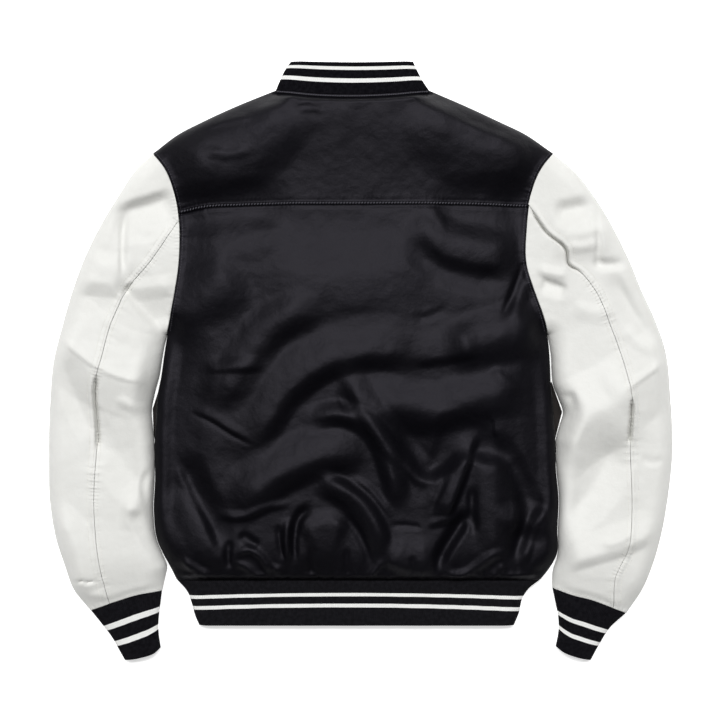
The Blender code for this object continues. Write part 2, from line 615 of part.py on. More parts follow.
def back_grid():
    """The back below its yoke: a patch between the armholes, then level rows down to the hem."""
    edges = []
    for side in SIDES:
        points, seam = armhole_points(side)
        edges.append(points[seam:])
    level = edges[0][-1] + COLUMNS[:, None] * (edges[1][-1] - edges[0][-1])
    upper = patch(edges[0], edges[1], YOKE(COLUMNS), level, COLUMNS, np.array(ARMHOLE_SHARES))
    rows = np.linspace(UNDERARM_Y, HEM_Y, BODY_ROWS + 1)[1:]
    sides = [LINES["side"][side]([LINES["side"][side].share_at_y(y) for y in rows]) for side in SIDES]
    lower = sides[0][:, None] + COLUMNS[None, :, None] * (sides[1] - sides[0])[:, None]
    return np.concatenate([upper, lower]), len(upper) - 1


def make_back():
    xy, underarm = back_grid()
    inward = inward_ways(xy, columns=[0, -1])
    for column in (0, -1):
        inward[underarm, column] = xy[underarm - 1, column] - xy[underarm, column]
    armhole, every = slice(0, underarm + 1), slice(None)
    trim = trim_ways(xy, rows=[(0, every), (-1, every)], columns=[(0, armhole), (-1, armhole)])
    wall("back_body", [sheet(xy, body_top, True, inward, trim, crease_height(xy), HALF_GAP)], SHELL, "shell")


def front_columns():
    """Shares across a front: from its side to under the neckline's bend, and from there to its edge."""
    edge = np.array(UNDER_STEPS) / FRONT_WIDTH
    return np.concatenate([edge, np.linspace(edge[-1], BEND_COLUMN, FRONT_MIDDLE_STEPS + 1)[1:]])


def neckline_shares():
    """Shares along a front neckline: down to its bend, and on to the front edge."""
    steep = np.array(NECKLINE_SHARES) * NECKLINE_BEND
    return steep, np.linspace(NECKLINE_BEND, 1, FRONT_NECK_STEPS + 1)


def make_front(side):
    """A front in two grids: beside the neckline, and below it down to the hem."""
    armhole, _ = armhole_points(side)
    steep, flat = [LINES["neck_front"][side](shares) for shares in neckline_shares()]
    meet = len(steep) - 1
    before = front_columns()
    after = np.linspace(before[-1], 1, FRONT_NECK_STEPS + 1)
    across = before / before[-1]
    middle = armhole[meet] + across[:, None] * (flat[0] - armhole[meet])
    down = np.array(NECKLINE_SHARES)
    upper = patch(armhole[:meet + 1], steep, LINES["shoulder"][side](across), middle, across, down)

    columns = np.concatenate([before, after[1:]])
    first = np.concatenate([middle, flat[1:]])
    run = armhole[meet:]
    steps = np.concatenate([[0], np.cumsum(np.linalg.norm(np.diff(run, axis=0), axis=1))])
    down = steps / steps[-1]
    corner = np.array([first[-1, 0], UNDERARM_Y])
    placket = first[-1] + down[:, None] * (corner - first[-1])
    level = run[-1] + columns[:, None] * (corner - run[-1])
    top = patch(run, placket, first, level, columns, down)
    line = LINES["side"][side]
    rows = np.linspace(UNDERARM_Y, HEM_Y, FRONT_ROWS + 1)[1:]
    seam = line([line.share_at_y(y) for y in rows])
    end = np.stack([np.full(len(rows), first[-1, 0]), rows], axis=1)
    lower = np.concatenate([top, seam[:, None] + columns[None, :, None] * (end - seam)[:, None]])

    every = slice(None)
    underarm = len(run) - 1
    bend = len(before) - 1
    upper_trim = trim_ways(upper, columns=[(0, every), (-1, every)])
    lower_trim = trim_ways(lower, rows=[(0, slice(bend, None)), (-1, every)],
                           columns=[(0, slice(0, underarm + 1))])
    upper_trim[-1, 0] = lower_trim[0, 0]
    lower_trim[0, bend] = upper_trim[-1, -1] = unit(upper_trim[-1, -1] + lower_trim[0, bend])
    inward = inward_ways(lower, columns=[0])
    inward[underarm, 0] = lower[underarm - 1, 0] - lower[underarm, 0]
    height = UNDER[side]
    upper_ways = inward_ways(upper, rows=[0])
    wall(f"front_{side}", [sheet(upper, height, False, upper_ways, upper_trim, None, -HALF_GAP),
                           sheet(lower, height, False, inward, lower_trim, None, -HALF_GAP)], SHELL, "shell")


# ---------------------------------------------------------------- sleeves

def sleeve_grids(side):
    """The sleeve in plan: its outer piece beside the arm seam, and its under piece on the body's side."""
    armhole, yoke_place = armhole_points(side)
    start = yoke_place + 1 if side == "left" else yoke_place
    line = {name: LINES[name][side] for name in ("sleeve_outer", "sleeve_inner", "arm_seam", "cuff_seam")}
    beside = armhole[start + 1:]
    underarm = len(beside) - 1
    turn = line["arm_seam"].share_at_y(UNDERARM_Y + SEAM_TURN)
    below = np.array(SLEEVE_SHARES)
    down = np.concatenate([np.arange(underarm + 1) / underarm * turn, turn + (1 - turn) * below])
    seam, outer = line["arm_seam"](down), line["sleeve_outer"](down)
    seam[0] = armhole[start]
    cuff = line["cuff_seam"]
    split = float(cuff.share[np.linalg.norm(cuff.points - seam[-1], axis=1).argmin()])
    seam[-1] = cuff(split)
    inner = np.concatenate([beside, line["sleeve_inner"](below)])

    steps = np.linalg.norm(np.diff(armhole[:start + 1], axis=0), axis=1)
    across = np.concatenate([[0], np.cumsum(steps)]) / steps.sum()
    outer_piece = patch(outer, seam, armhole[:start + 1], cuff(across * split), across, down)
    across = np.array(UNDER_SLEEVE_COLUMNS)
    last = cuff(split + across * (1 - split))
    first = seam[0] + across[:, None] * (inner[0] - seam[0])
    under_piece = patch(seam, inner, first, last, across, down ** FAN_POWER)
    return outer_piece, under_piece, underarm


def make_sleeve(side):
    outer, under, underarm = sleeve_grids(side)
    every = slice(None)
    outer_trim = trim_ways(outer, rows=[(0, every), (-1, every)], columns=[(-1, every)])
    under_trim = trim_ways(under, rows=[(0, every), (-1, every)],
                           columns=[(0, every), (-1, slice(0, underarm + 1))])
    inward = inward_ways(under, columns=[-1])
    inward[underarm, -1] = under[underarm - 1, -1] - under[underarm, -1]
    for piece, xy, ways, trim in (("outer", outer, inward_ways(outer, columns=[0]), outer_trim),
                                  ("under", under, inward, under_trim)):
        wall(f"sleeve_{side}_{piece}", [sheet(xy, sleeve_top, True, ways, trim, crease_height(xy)),
                                        sheet(xy, sleeve_under, False, ways, trim)], SHELL, "sleeve")


# ---------------------------------------------------------------- ribs

def make_cuff(side):
    outer, under, _ = sleeve_grids(side)
    seam = np.concatenate([outer[-1], under[-1, 1:]])
    down = np.linspace(0, 1, CUFF_ROWS + 1)
    steps = np.linalg.norm(np.diff(seam, axis=0), axis=1)
    across = np.concatenate([[0], np.cumsum(steps)]) / steps.sum()
    xy = patch(LINES["cuff_outer"][side](down), LINES["cuff_inner"][side](down), seam,
               LINES["cuff_end"][side](across), across, down)
    inward = inward_ways(xy, columns=[0, -1])
    trim = trim_ways(xy, rows=[(0, slice(None))])
    wall(f"cuff_{side}", [sheet(xy, cuff_top, True, inward, trim),
                          sheet(xy, sleeve_under, False, inward, trim)], KNIT, "knit")


def under_part(side, rows, seam, end, side_line, shares, corner_trim):
    """The part of a rib that lies under the jacket, from the outline to the front edge."""
    down = np.linspace(0, 1, rows + 1)
    edge = seam[-1] + down[:, None] * (end[-1] - seam[-1])
    xy = patch(side_line(down), edge, seam, end, shares, down)
    trim = trim_ways(xy, rows=[(0, slice(None))])
    trim[0, 0] = corner_trim
    return sheet(xy, UNDER[side], False, inward_ways(xy, columns=[0]), trim)


def make_hem():
    down = np.linspace(0, 1, HEM_ROWS + 1)
    back, _ = back_grid()
    sides = [LINES["hem_side"][side](down) for side in SIDES]
    end = sides[0][-1] + COLUMNS[:, None] * (sides[1][-1] - sides[0][-1])
    xy = patch(sides[0], sides[1], back[-1], end, COLUMNS, down)
    trim = trim_ways(xy, rows=[(0, slice(None))])
    sheets = [sheet(xy, hem_top, True, inward_ways(xy, columns=[0, -1]), trim)]
    for side, sign in zip(SIDES, (1, -1)):
        edge_x = CENTRE_X + sign * OVERLAP
        shares = np.concatenate([np.array(HEM_UNDER_STEPS) / FRONT_WIDTH,
                                 1 - np.array(PLACKET_STEPS + [0]) / FRONT_WIDTH])
        rows = [np.array(start) + shares[:, None] * (np.array([edge_x, start[1]]) - start)
                for start in (SIDE[side][-1], HEM_SIDE[side][-1])]
        corner_trim = trim[0, 0 if side == "left" else -1]
        sheets.append(under_part(side, HEM_ROWS, *rows, LINES["hem_side"][side], shares, corner_trim))
    wall("hem_rib", sheets, KNIT, "knit")


def make_collar():
    down = np.linspace(0, 1, COLLAR_ROWS + 1)
    across = (COLUMNS[ON_NECK] - NECK_LEFT) / (NECK_RIGHT - NECK_LEFT)
    sides = [LINES["collar_side"][side](down) for side in SIDES]
    xy = patch(sides[0], sides[1], NECK(across), COLLAR_END(across), across, down)
    trim = trim_ways(xy, rows=[(0, slice(None))])
    sheets = [sheet(xy, collar_top, True, inward_ways(xy, columns=[0, -1]), trim)]
    steep, flat = neckline_shares()
    shares = np.concatenate([steep, flat[1:]])
    for side in SIDES:
        seam, end = LINES["neck_front"][side](shares), LINES["collar_front_end"][side](shares)
        corner_trim = trim[0, 0 if side == "left" else -1]
        side_line = LINES["collar_side"][side]
        sheets.append(under_part(side, COLLAR_ROWS, seam, end, side_line, shares, corner_trim))
    wall("collar_rib", sheets, KNIT, "knit")


# ---------------------------------------------------------------- trims

def make_welt(side):
    """A flat strip under the front, with its outer corner past the side seam."""
    corners = np.array(WELT_OUTLINE[side], float)
    count = len(corners)
    vertices = [(x, y, z) for z in (0.0, WELT) for x, y in corners]
    faces = [list(range(count)), list(range(count, 2 * count))]
    faces += [[k, (k + 1) % count, count + (k + 1) % count, count + k] for k in range(count)]
    made = add_object(f"pocket_welt_{side}", vertices, faces, "welt")
    face_outwards(made)
    rounding = made.modifiers.new("rounded", "BEVEL")
    rounding.width = WELT_BEVEL * MM
    rounding.segments = 1
    rounding.limit_method = "ANGLE"
    rounding.angle_limit = math.radians(50)


def make_cap(number):
    """A snap cap: a low button with a rounded lower rim."""
    y = CAP_FIRST_Y - number * CAP_STEP
    profile = [(CAP_RADIUS - CAP_BEVEL, 0), (CAP_RADIUS, CAP_BEVEL), (CAP_RADIUS, CAP_HEIGHT)]
    vertices = []
    for radius, z in profile:
        for step in range(CAP_SIDES):
            angle = 2 * math.pi * step / CAP_SIDES
            vertices.append((CENTRE_X + radius * math.cos(angle), y + radius * math.sin(angle), z))
    faces = [list(range(CAP_SIDES)), [2 * CAP_SIDES + k for k in range(CAP_SIDES)]]
    for level in range(len(profile) - 1):
        for k in range(CAP_SIDES):
            after = (k + 1) % CAP_SIDES
            faces.append([level * CAP_SIDES + k, level * CAP_SIDES + after,
                          (level + 1) * CAP_SIDES + after, (level + 1) * CAP_SIDES + k])
    face_outwards(add_object(f"snap_cap_{number + 1}", vertices, faces, "cap"))


def main():
    for old in list(bpy.data.objects):
        bpy.data.objects.remove(old)
    make_yoke()
    make_back()
    for side in SIDES:
        make_front(side)
        make_sleeve(side)
        make_cuff(side)
        make_welt(side)
    make_hem()
    make_collar()
    for number in range(CAP_COUNT):
        make_cap(number)


main()
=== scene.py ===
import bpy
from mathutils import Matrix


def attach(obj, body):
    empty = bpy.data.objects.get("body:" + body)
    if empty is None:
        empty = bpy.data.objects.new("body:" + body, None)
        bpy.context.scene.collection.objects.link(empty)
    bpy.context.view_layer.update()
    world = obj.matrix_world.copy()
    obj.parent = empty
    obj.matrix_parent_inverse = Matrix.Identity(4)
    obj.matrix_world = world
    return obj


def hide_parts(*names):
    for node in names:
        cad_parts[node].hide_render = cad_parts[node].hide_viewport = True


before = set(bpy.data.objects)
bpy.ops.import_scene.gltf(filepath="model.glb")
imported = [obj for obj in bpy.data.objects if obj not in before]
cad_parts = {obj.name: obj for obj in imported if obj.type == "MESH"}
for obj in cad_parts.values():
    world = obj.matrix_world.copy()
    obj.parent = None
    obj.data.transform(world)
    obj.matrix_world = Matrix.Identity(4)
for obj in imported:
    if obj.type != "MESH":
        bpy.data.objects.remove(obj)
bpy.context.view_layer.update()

# A varsity jacket lying face down, back up, collar towards +Y.
# Every cloth piece is a thin closed wall whose upper side is a height over its outline, with its folds and
# seams worked in. Tables and shapes are in millimetres, seen from above: x to the jacket's right, y to its
# collar. Node trees, finishes, light and camera are in metres.

import math

import bpy
import numpy as np
from mathutils import Vector, noise

MM = 0.001
BODY = "root"

# Cloth, as in the solids
SHELL = 2.2
KNIT = 2.6
HALF_GAP = 0.15         # half of what is left between pieces that are sewn together

# Height of the laid jacket, as in the solids
FOLD_Z = 8.0            # the outline's height, where the back turns under to the fronts
UNDER_ROUND = 8.0
TOP_ROUND = 46.0
RIB_ROUND = 11.0
EDGE_BEND = 4.5
BODY_CROWN = 37.0
SLEEVE_CROWN = 34.0
ARMHOLE_Z = 27.0
NECK_Z = 18.5
HEM_Z = 18.0
CUFF_Z = 20.0
COLLAR_END_Z = 17.5
HEM_END_Z = 17.0
CUFF_END_Z = 17.5
COLLAR_WIDTH = 38.0
CUFF_WIDTH = 60.0
ARMHOLE_SPREAD = 32.0   # how far from the seams the back and sleeves sink towards them
NECK_SPREAD = 34.0
HEM_SPREAD = 24.0
CUFF_SPREAD = 32.0
SPREAD_REACH = 3.2      # where that can be neglected

# The cloth's own fullness. A roll says how far from a seam the cloth puffs up, and within what width.
SLEEVE_ROUND = 22.0     # the sleeves stay flatter than their solids towards the outline
FOLD_FADE = 26.0        # folds die out this close to the outline
RIB_FADE = 12.0         # this close to the neck and cuff seams
HEM_FADE = 3.0          # and this close to the hem seam
NECK_ROLL = (3.5, 7.0)
NECK_SWELL = 3.4        # what the yoke swells above its crown beside the neck seam
NECK_SWELL_REACH = 46.0
HEM_ROLL = (0.5, 7.0)
HEM_PUFF = 0.5          # share of the drop to the seam that the puff takes back
CUFF_ROLL = (0.5, 12.0)
CUFF_PUFF = 0.3
LOW_DEPTH = 0.15        # the back's folds are this much deeper at its foot
LOW_FOLDS = (-105.0, 60.0)  # from this height down, fully so after this much
GATHERS = (4.2, 8.0, 34.0, 17.0)  # over the hem: height, width, length and reach
UNDER_FADE = 16.0       # the fronts' and sleeves' low folds die out this close to the outline
UNDER_HEM_FADE = 8.0    # and the fronts' this close to the hem seam
OVERLAP_CLEAR = (14.0, 26.0)  # beside the overlap none for this far, then rising to full within this
WELT_CLEAR = (2.0, 16.0)      # the same beside a welt
SEAM_ROLL = 1.8         # width of a sewn edge that turns down
BEAD_WIDTH = 1.5
PUCKER_LENGTH = 4.6
RIB_END_ROLL = (2.2, 1.1)     # a rib's rolled edges: width and depth
RIB_SEAM_ROLL = (2.4, 0.9)
STITCH_LIFT = 0.12      # stitches lie this much above the cloth

# The fronts below
CENTRE_X = -8.0
OVERLAP = 20.0          # each front passes the centre by this much
EDGE_LIFT = {"left": 1.9, "right": 4.8}  # by the snap caps, and by the front below too
LIFT_RAMP = 32.0        # that lift grows over this width
PLACKET_SHIFT = 12.0    # and starts this much further out on the right front
WELT_LIFT = 2.7         # over a welt and this far round it, then falling over this width
WELT_REACH = 20.0
WELT_RAMP = 28.0

# Grid lines: millimetres in from an outer edge or a seam, between them in even steps
FINE_EDGE = [0, 0.6, 1.4, 2.6, 4.4, 6.8]
FINE_SEAM = [0, 0.45, 1.0, 1.9, 3.2, 5.0]
FINE_UNDER = [0, 1.5, 4]         # at the fronts' hem
FINE_RIB_SEAM = [0, 0.5, 1.2, 2.4]
FINE_RIB_END = [0, 0.4, 1.0, 2.0]
STEP = 2.6
UNDER_STEP = 6.0        # on the fronts
RIB_STEP = 2.9
# Rough sizes of the pieces: they set how many grid lines each gets, and the courses of a rib
YOKE_DEPTH = 132.0
ARM_DEPTH = 160.0
SLEEVE_DEPTH = 330.0
OUTER_WIDTH = 86.0
UNDER_WIDTH = 78.0
FRONT_WIDTH = 255.0
NECKLINE_LENGTH = 190.0
HEM_LENGTH = 57.0
COLLAR_LENGTH = 40.0
CUFF_LENGTH = 75.0
# Where the grids turn
SEAM_START = {"left": 0.09, "right": 0}  # an arm seam's start, as a share from the yoke seam down
SEAM_TURN = 12.0        # the arm seam's row for the underarm lies this much above it
FAN_POWER = 3           # how the under piece's short first row opens out down the sleeve
NECKLINE_BEND = 0.46    # where the front's neckline turns, as a share of it
BEND_COLUMN = 0.66      # and of the front's width
BENT_COLUMNS = 16       # how many columns are past the bend
FRONT_TURN = 0.9        # the armhole beside that turn, as a share of the way to the yoke seam
SAME_SHARE = 1e-5       # shares this close count as the same
WALE = 2.6              # one rib of the knit
SAMPLES_PER_WALE = 4
KNIT_LABELS = ("wale", "course")
PUCKER_REACH = 14.0     # the finishes read a seam's distance up to this
EDGE_TOUCH = 0.05       # a grid point this close to the outline lies on it
PROBE = 1.0             # and its slope is read this far inside
SLOPE_STEP = 0.02
CHUNK = 3000            # points measured at once
SHARP_EDGE = 62         # degrees
SIDES = ("left", "right")
FIRST = {"left": 0, "right": -1}         # the end of a row that lies on that side
EVERY = slice(None)


# ---------------------------------------------------------------- tables

def rows_of(text):
    """A table's rows, as words. A row that starts with # is a remark."""
    return [row.split() for row in text.strip().splitlines() if not row.startswith("#")]


def points_of(words):
    return [tuple(float(part) for part in word.split(",")) for word in words]


# Columns: line, side, points x,y
TABLES = {tuple(words[:2]): points_of(words[2:]) for words in rows_of("""
shoulder left -261,260 -229,284 -200,299 -145,324 -107.5,339
shoulder right 241,260 206,284 175,299 121,324 86,339
armhole left -261,260 -244,239 -232.5,209 -226,164 -226,134 -231,89 -239,48 -243,32
armhole right 241,260 224,239 212.5,209 206,164 206,119 215,89 226,59 234,32
side left -243,32 -247,6 -250.5,-19 -255,-42 -257,-74 -258.8,-99 -258.3,-149 -259.8,-190 -255.3,-225 \
    -247.8,-242 -239.5,-257 -231,-274
side right 234,32 236.5,6 237.5,-16 238,-29 240.5,-48 242,-74 243.9,-100 244.5,-136 247.8,-172 246.3,-211 \
    245.3,-243 236,-260 225,-274
neck back -107.5,339 -60,334 -14,332.5 40,334.5 86,339
neck_front left -107.5,339 -98,306 -74,279 -40,266 12,264
neck_front right 86,339 79,306 56,279 22,266 -28,264
yoke back -226.5,187.5 -201,193 -151,196 -14,197.5 149,197 208,195
sleeve_outer left -261,260 -282.5,239 -302.5,209 -321,179 -344,134 -361,89 -374,44 -385,-1 -389,-46 \
    -391,-120 -389,-181 -381,-226 -371,-256 -360,-286 -339,-312.5
sleeve_outer right 241,260 266,239 290,209 309,179 325,149 339,119 351,89 365,59 381,14 387.5,-46 390,-115 \
    385,-166 374,-226 365,-256 352.5,-286 332.5,-316
sleeve_inner left -243,32 -246,20 -248.5,6 -252.5,-19 -258.6,-42 -262.2,-62 -261.2,-80 -259.3,-99 \
    -258.8,-149 -260.3,-190 -255.8,-225 -248.3,-243 -243,-257 -245,-270 -249,-287.5
sleeve_inner right 234,32 236.2,20 238,6 239,-16 240.5,-29 247,-46 253,-65 249,-80 244.6,-96 245,-136 \
    248.3,-172 246.8,-211 245.8,-245 240,-264 239.5,-284
arm_seam left -228.7,172.5 -264,120 -291,88 -301,67 -310,45 -322.5,-5 -328,-24 -328,-102 -331,-180 \
    -325,-249 -317.5,-286 -313.5,-303
arm_seam right 208,195 230,161 255,136 258,120 271,111 290,88 309,44 326,-6 335,-51 334,-105 334,-211 \
    330,-236 316,-267.5 315,-309
cuff_seam left -339,-312.5 -307.5,-301 -276,-291.5 -249,-287.5
cuff_seam right 332.5,-316 311,-307 286,-298 267.5,-293.5 239.5,-284
cuff_outer left -339,-312.5 -324,-331 -314,-344 -304,-361 -296,-375
cuff_outer right 332.5,-316 311,-336 299,-355 288,-375
cuff_inner left -249,-287.5 -251.5,-307.5 -253.5,-324 -253.5,-341 -251,-359
cuff_inner right 239.5,-284 244,-305 247,-320 247.5,-338 244,-357.5
cuff_end left -296,-375 -276,-371.5 -257.5,-365 -251,-359
cuff_end right 288,-375 267.5,-370 252.5,-364 244,-357.5
hem_side left -231,-274 -217.5,-290 -212.5,-304 -208,-320 -203,-331
hem_side right 225,-274 210,-286 202.5,-298 199,-314 192,-331
collar_side left -107.5,339 -102.5,351 -95,366 -88.5,375
collar_side right 86,339 78,351 71,364 66,375
collar_end back -88.5,375 -50,374 -11,373.5 30,374 66,375
collar_front_end left -88.5,375 -80,345 -60,318 -34,304 12,300
collar_front_end right 66,375 58,345 40,318 14,304 -28,300
welt left -243,-30 -255,-38 -262,-60 -261,-92 -240,-198 -215,-192 -236,-92
welt right 227,-22 240,-27 253,-64 245,-95 224,-188 199,-182 219,-92
""")}

# Columns: height (negative for a hollow), width of the left and the right flank when one walks from the
# line's first point, sharpness, points x,y
FOLDS = {name: [(*map(float, words[:4]), points_of(words[4:])) for words in rows_of(text)]
         for name, text in {"back": """
# yoke: it rises from both shoulders to a crest and falls towards the seam below
7.5 52 42 0 -250,240 -195,240 -151,246 -120,266 -94,296 -70,330
7.5 50 60 0 80,330 104,286 140,266 195,258 236,258
2.6 11 9 0.3 -206,291 -168,299 -130,303
1.6 5 6 0.5 -84,317 -66,320 -48,315
1.3 4 5 0.5 -80,309 -62,312 -46,308
1.8 8 10 0.4 -198,262 -160,256 -130,264
1.8 10 12 0.3 112,300 150,284 192,274
# the yoke seam is drawn in
-7 110 90 0 -340,186 -180,190 160,190 330,186
# under the yoke
-7.5 44 30 0 -262,176 -206,179 -166,184 -120,190 -78,196
-6 46 46 0 78,196 116,192 170,192 228,194
7 34 38 0 62,190 86,165 114,147 145,138 206,130
-4.5 20 26 0 58,156 88,120 140,103 190,101
1.2 9 10 0.2 82,192 96,178 104,160
-2.8 8 6 0.6 203,126 187,82 171,46
2.4 12 10 0.3 216,118 200,84 186,44
1.8 20 26 0 -220,142 -170,140 -110,152 -80,160
5 90 60 0 -130,66 -60,82 20,84 90,66
9 48 46 0 -256,42 -206,76 -170,94 -138,108
9.5 36 32 0.1 -196,-62 -157,-26 -136,8 -115,36 -93,52 -66,58 -40,54
3.2 16 8 0.3 -200,-10 -157,-8 -134,-7 -116,-4
-1.6 8 10 0.4 62,52 86,56 110,68
# the arch over the waist
11 50 25 0.3 -148,-134 -134,-104 -115,-73 -93,-39 -72,-21 -51,-7 -30,2 -8,7 12,10 36,11 62,7 92,0
5 40 14 0 60,2 104,7 150,16
11 44 40 0 98,10 165,28 236,50
2.4 10 12 0.2 160,-8 176,-22 196,-42
# left side
1.9 12 6 0.3 -214,-58 -186,-70 -160,-86 -130,-101
-2.2 3.5 4 0.7 -214,-63 -186,-75 -160,-91 -130,-106
3.2 16 24 0 -242,-160 -226,-174 -212,-192 -197,-214 -183,-238 -162,-272
-6 28 12 0 -228,-110 -206,-158 -184,-200 -168,-240
-9 52 26 0 -228,70 -229,-10 -231,-90 -229,-170 -222,-240
12 44 29 0.3 -166,-194 -136,-167 -115,-150 -93,-136 -72,-127 -51,-119 -30,-115 -8,-112 18,-112
3.4 9 7 0.4 -182,-190 -149,-193 -111,-180 -84,-176
# the slant down the middle
8.5 26 16 0.2 -30,-2 -14,-26 0,-52 16,-76 45,-115 76,-143 96,-158
11.5 20 18 0.3 -76,-78 -28,-66 8,-80 27,-108 38,-140 45,-170 48,-192
1.4 9 9 0.2 8,-46 32,-67 54,-92 68,-118
-1.6 4 5 0.7 -30,-34 -24,-50 -16,-68
# right side
9 40 32 0.3 -20,-40 33,-54 64,-62 101,-62 127,-52 152,-44 220,-40
-12 50 20 0.2 34,-58 52,-84 66,-114 80,-131 98,-126 120,-108 142,-107 170,-112 196,-94
10.5 11 36 0.3 146,-82 136,-102 128,-127 119,-152 107,-182 95,-206
-2 6 8 0.2 108,-138 97,-162 84,-190
-4 9 8 0.2 138,-152 137,-180 140,-218
5 26 24 0 150,-104 156,-144 160,-180 162,-214 164,-254
-8 22 20 0 160,-86 190,-134 208,-184 198,-232 190,-272
-8 24 52 0 222,40 217,-60 218,-140 214,-210 204,-280
6 26 24 0.2 168,-206 192,-196 216,-200 240,-214
5 10 12 0.2 234,-178 217,-200 209,-225 198,-258
2.4 7 7 0.6 80,-203 98,-198 122,-195
-1.8 5 5 0.6 34,-203 60,-204 78,-207
# gathers over the hem
10.5 15 24 0.3 -62,-140 -30,-154 -8,-168 10,-187 22,-212 30,-246
2.6 6 7 0.4 -12,-143 8,-156 26,-176 40,-196
-3 9 9 0.1 -36,-184 -10,-204 4,-226 14,-262
4.2 22 62 0.1 -76,-216 -38,-203 -14,-209
-4.5 8 10 0.3 -56,-177 -75,-192 -83,-220 -82,-256
4 9 8 0.3 -90,-192 -91,-220 -88,-250
-2.4 6 6 0.5 -103,-200 -100,-230 -95,-250
7 44 14 0.2 24,-240 64,-258 98,-256
-9 11 14 0.4 137,-182 117,-213 103,-236 92,-264
4 9 10 0.4 105,-250 110,-264 128,-265 147,-252 164,-240 186,-237
4 8 8 0.4 -158,-248 -148,-236 -136,-234 -125,-242 -115,-255 -90,-260
3.2 7 7 0.5 -160,-250 -143,-255 -130,-266 -114,-270
-3.5 9 9 0.3 -152,-214 -138,-222 -126,-232
-3.5 7 7 0.5 -162,-220 -165,-240 -164,-260
3.4 9 9 0.4 -228,-246 -208,-257 -182,-270
2.6 8 8 0.4 162,-270 172,-259 178,-252
2.2 6 6 0.4 28,-246 16,-262 8,-270
-2.8 6 6 0.5 -61,-228 -62,-250 -60,-270
-2.8 6 6 0.5 -17,-230 -18,-252 -14,-271
-2.4 5 5 0.5 62,-240 64,-256 61,-271
-2.2 5 5 0.5 -112,-252 -110,-262 -114,-271
-2.2 5 5 0.5 150,-254 153,-263 149,-271
""", "sleeve_left": """
-11 12 44 0.8 -326,180 -296,186 -268,193 -228,208
-4.5 9 4 0.8 -295,190 -297,151 -296,100
7 40 18 1 -374,100 -346,99 -318,97 -282,93
3.5 14 16 0.8 -302,88 -268,91 -224,97
-8 38 10 1 -310,108 -292,88 -270,64 -246,38 -232,22
12 60 48 1 -392,48 -351,11 -326,-8 -295,-21 -240,-32
2.6 8 4 0.9 -386,42 -352,12 -326,-7 -296,-20 -258,-28
-7 44 34 1 -346,-96 -327,-104 -307,-111 -292,-130 -262,-166
-5 26 18 1 -374,16 -348,-61 -322,-112
5.5 26 38 1 -392,-184 -358,-218 -342,-306
5 18 28 1 -300,-180 -276,-185 -246,-190
-13 8 9 0.5 -254,-130 -267,-150 -266,-168 -252,-190
2.6 8 10 0.7 -304,-44 -282,-56 -258,-61
-7 18 12 0.9 -284,-182 -272,-204 -252,-238
2 6 6 0.5 -352,-290 -338,-292 -316,-289
2.4 14 16 0.9 -352,148 -326,124 -300,110
-1.8 9 6 0.9 -286,160 -270,152 -252,156
2.2 20 14 1 -320,66 -300,40 -262,22
""", "sleeve_right": """
-9 14 34 0.8 236,184 268,190 304,206
-3.8 6 7 0.8 292,194 294,160 294,110
7 30 40 1 238,166 274,162 316,166
3 8 9 0.9 252,143 272,141 298,148
-6 9 8 0.8 284,122 306,119 338,126
-5.5 5 18 0.6 222,101 238,96 258,89
3.4 10 8 0.8 216,114 238,108 258,105
-6 14 22 0.6 304,112 322,88 339,62 374,16
10 46 50 1 308,-52 327,-36 350,-20 392,12
2.4 8 4 0.9 322,-40 350,-19 380,2
14.5 52 56 1 222,-114 255,-84 292,-62 324,-49 346,-40
-12 48 34 1 222,-208 280,-168 297,-142 312,-112 332,-92
-12 9 22 0.8 228,-49 248,-48 268,-43
7 30 14 0.7 236,-256 300,-237 330,-227 380,-200
2.6 7 8 0.7 296,-228 318,-222 338,-210
2.2 14 12 0.9 324,42 348,22 372,12
2.4 12 16 0.9 262,72 286,60 318,66
-1.8 9 6 0.9 346,-120 360,-126 378,-122
""", "front_left": """
3 16 9 0.3 -236,150 -190,128 -140,122 -96,132
2.4 9 14 0.4 -210,214 -170,206 -128,222
3.4 18 10 0.2 -232,20 -180,4 -130,12 -76,34
2.6 10 12 0.4 -190,-10 -150,-34 -100,-40
3 12 12 0.3 -170,-120 -130,-150 -80,-160
2.8 8 10 0.4 -190,-222 -160,-232 -126,-262
2.8 8 9 0.4 -100,-215 -92,-240 -96,-268
2.2 8 8 0.5 -64,-232 -60,-252 -66,-270
""", "front_right": """
3 14 10 0.3 206,160 160,146 112,152 70,170
2.4 12 10 0.4 190,220 140,214 100,236
3.2 18 12 0.2 222,40 170,20 110,24 60,46
2.6 10 10 0.4 170,-20 130,-42 80,-44
3 12 12 0.3 160,-130 120,-160 76,-168
2.8 8 10 0.4 188,-226 150,-234 122,-262
2.8 8 9 0.4 98,-212 90,-240 94,-268
2.2 8 8 0.5 60,-232 56,-252 62,-270
""", "sleeve_under_left": """
3 12 10 0.4 -318,150 -290,138 -262,146
3.4 12 14 0.3 -362,44 -330,26 -296,34 -266,20
3 14 9 0.4 -370,-40 -336,-58 -300,-50
2.8 10 12 0.4 -366,-120 -330,-134 -290,-122
3 12 12 0.3 -360,-206 -322,-220 -286,-214
""", "sleeve_under_right": """
3 12 10 0.4 298,150 270,140 240,146
3.4 12 14 0.3 356,30 322,14 288,22 258,8
3 14 9 0.4 364,-50 330,-66 292,-58
2.8 10 12 0.4 360,-130 324,-142 284,-130
3 12 12 0.3 352,-214 316,-226 278,-218
"""}.items()}

# Where an arm seam is drawn deep: (upper y, lower y, depth, width on the outer piece, on the under)
SEAM_SLITS = {
    "left": [(-16, -112, 10, 1.6, 3.0), (100, 80, 9, 3.2, 2.6)],
    "right": [(190, 106, 7, 1.0, 2.0), (-44, -106, 10, 1.6, 3.0)],
}
SLIT_END = 14.0         # a slit fades out over this length


# ---------------------------------------------------------------- lines

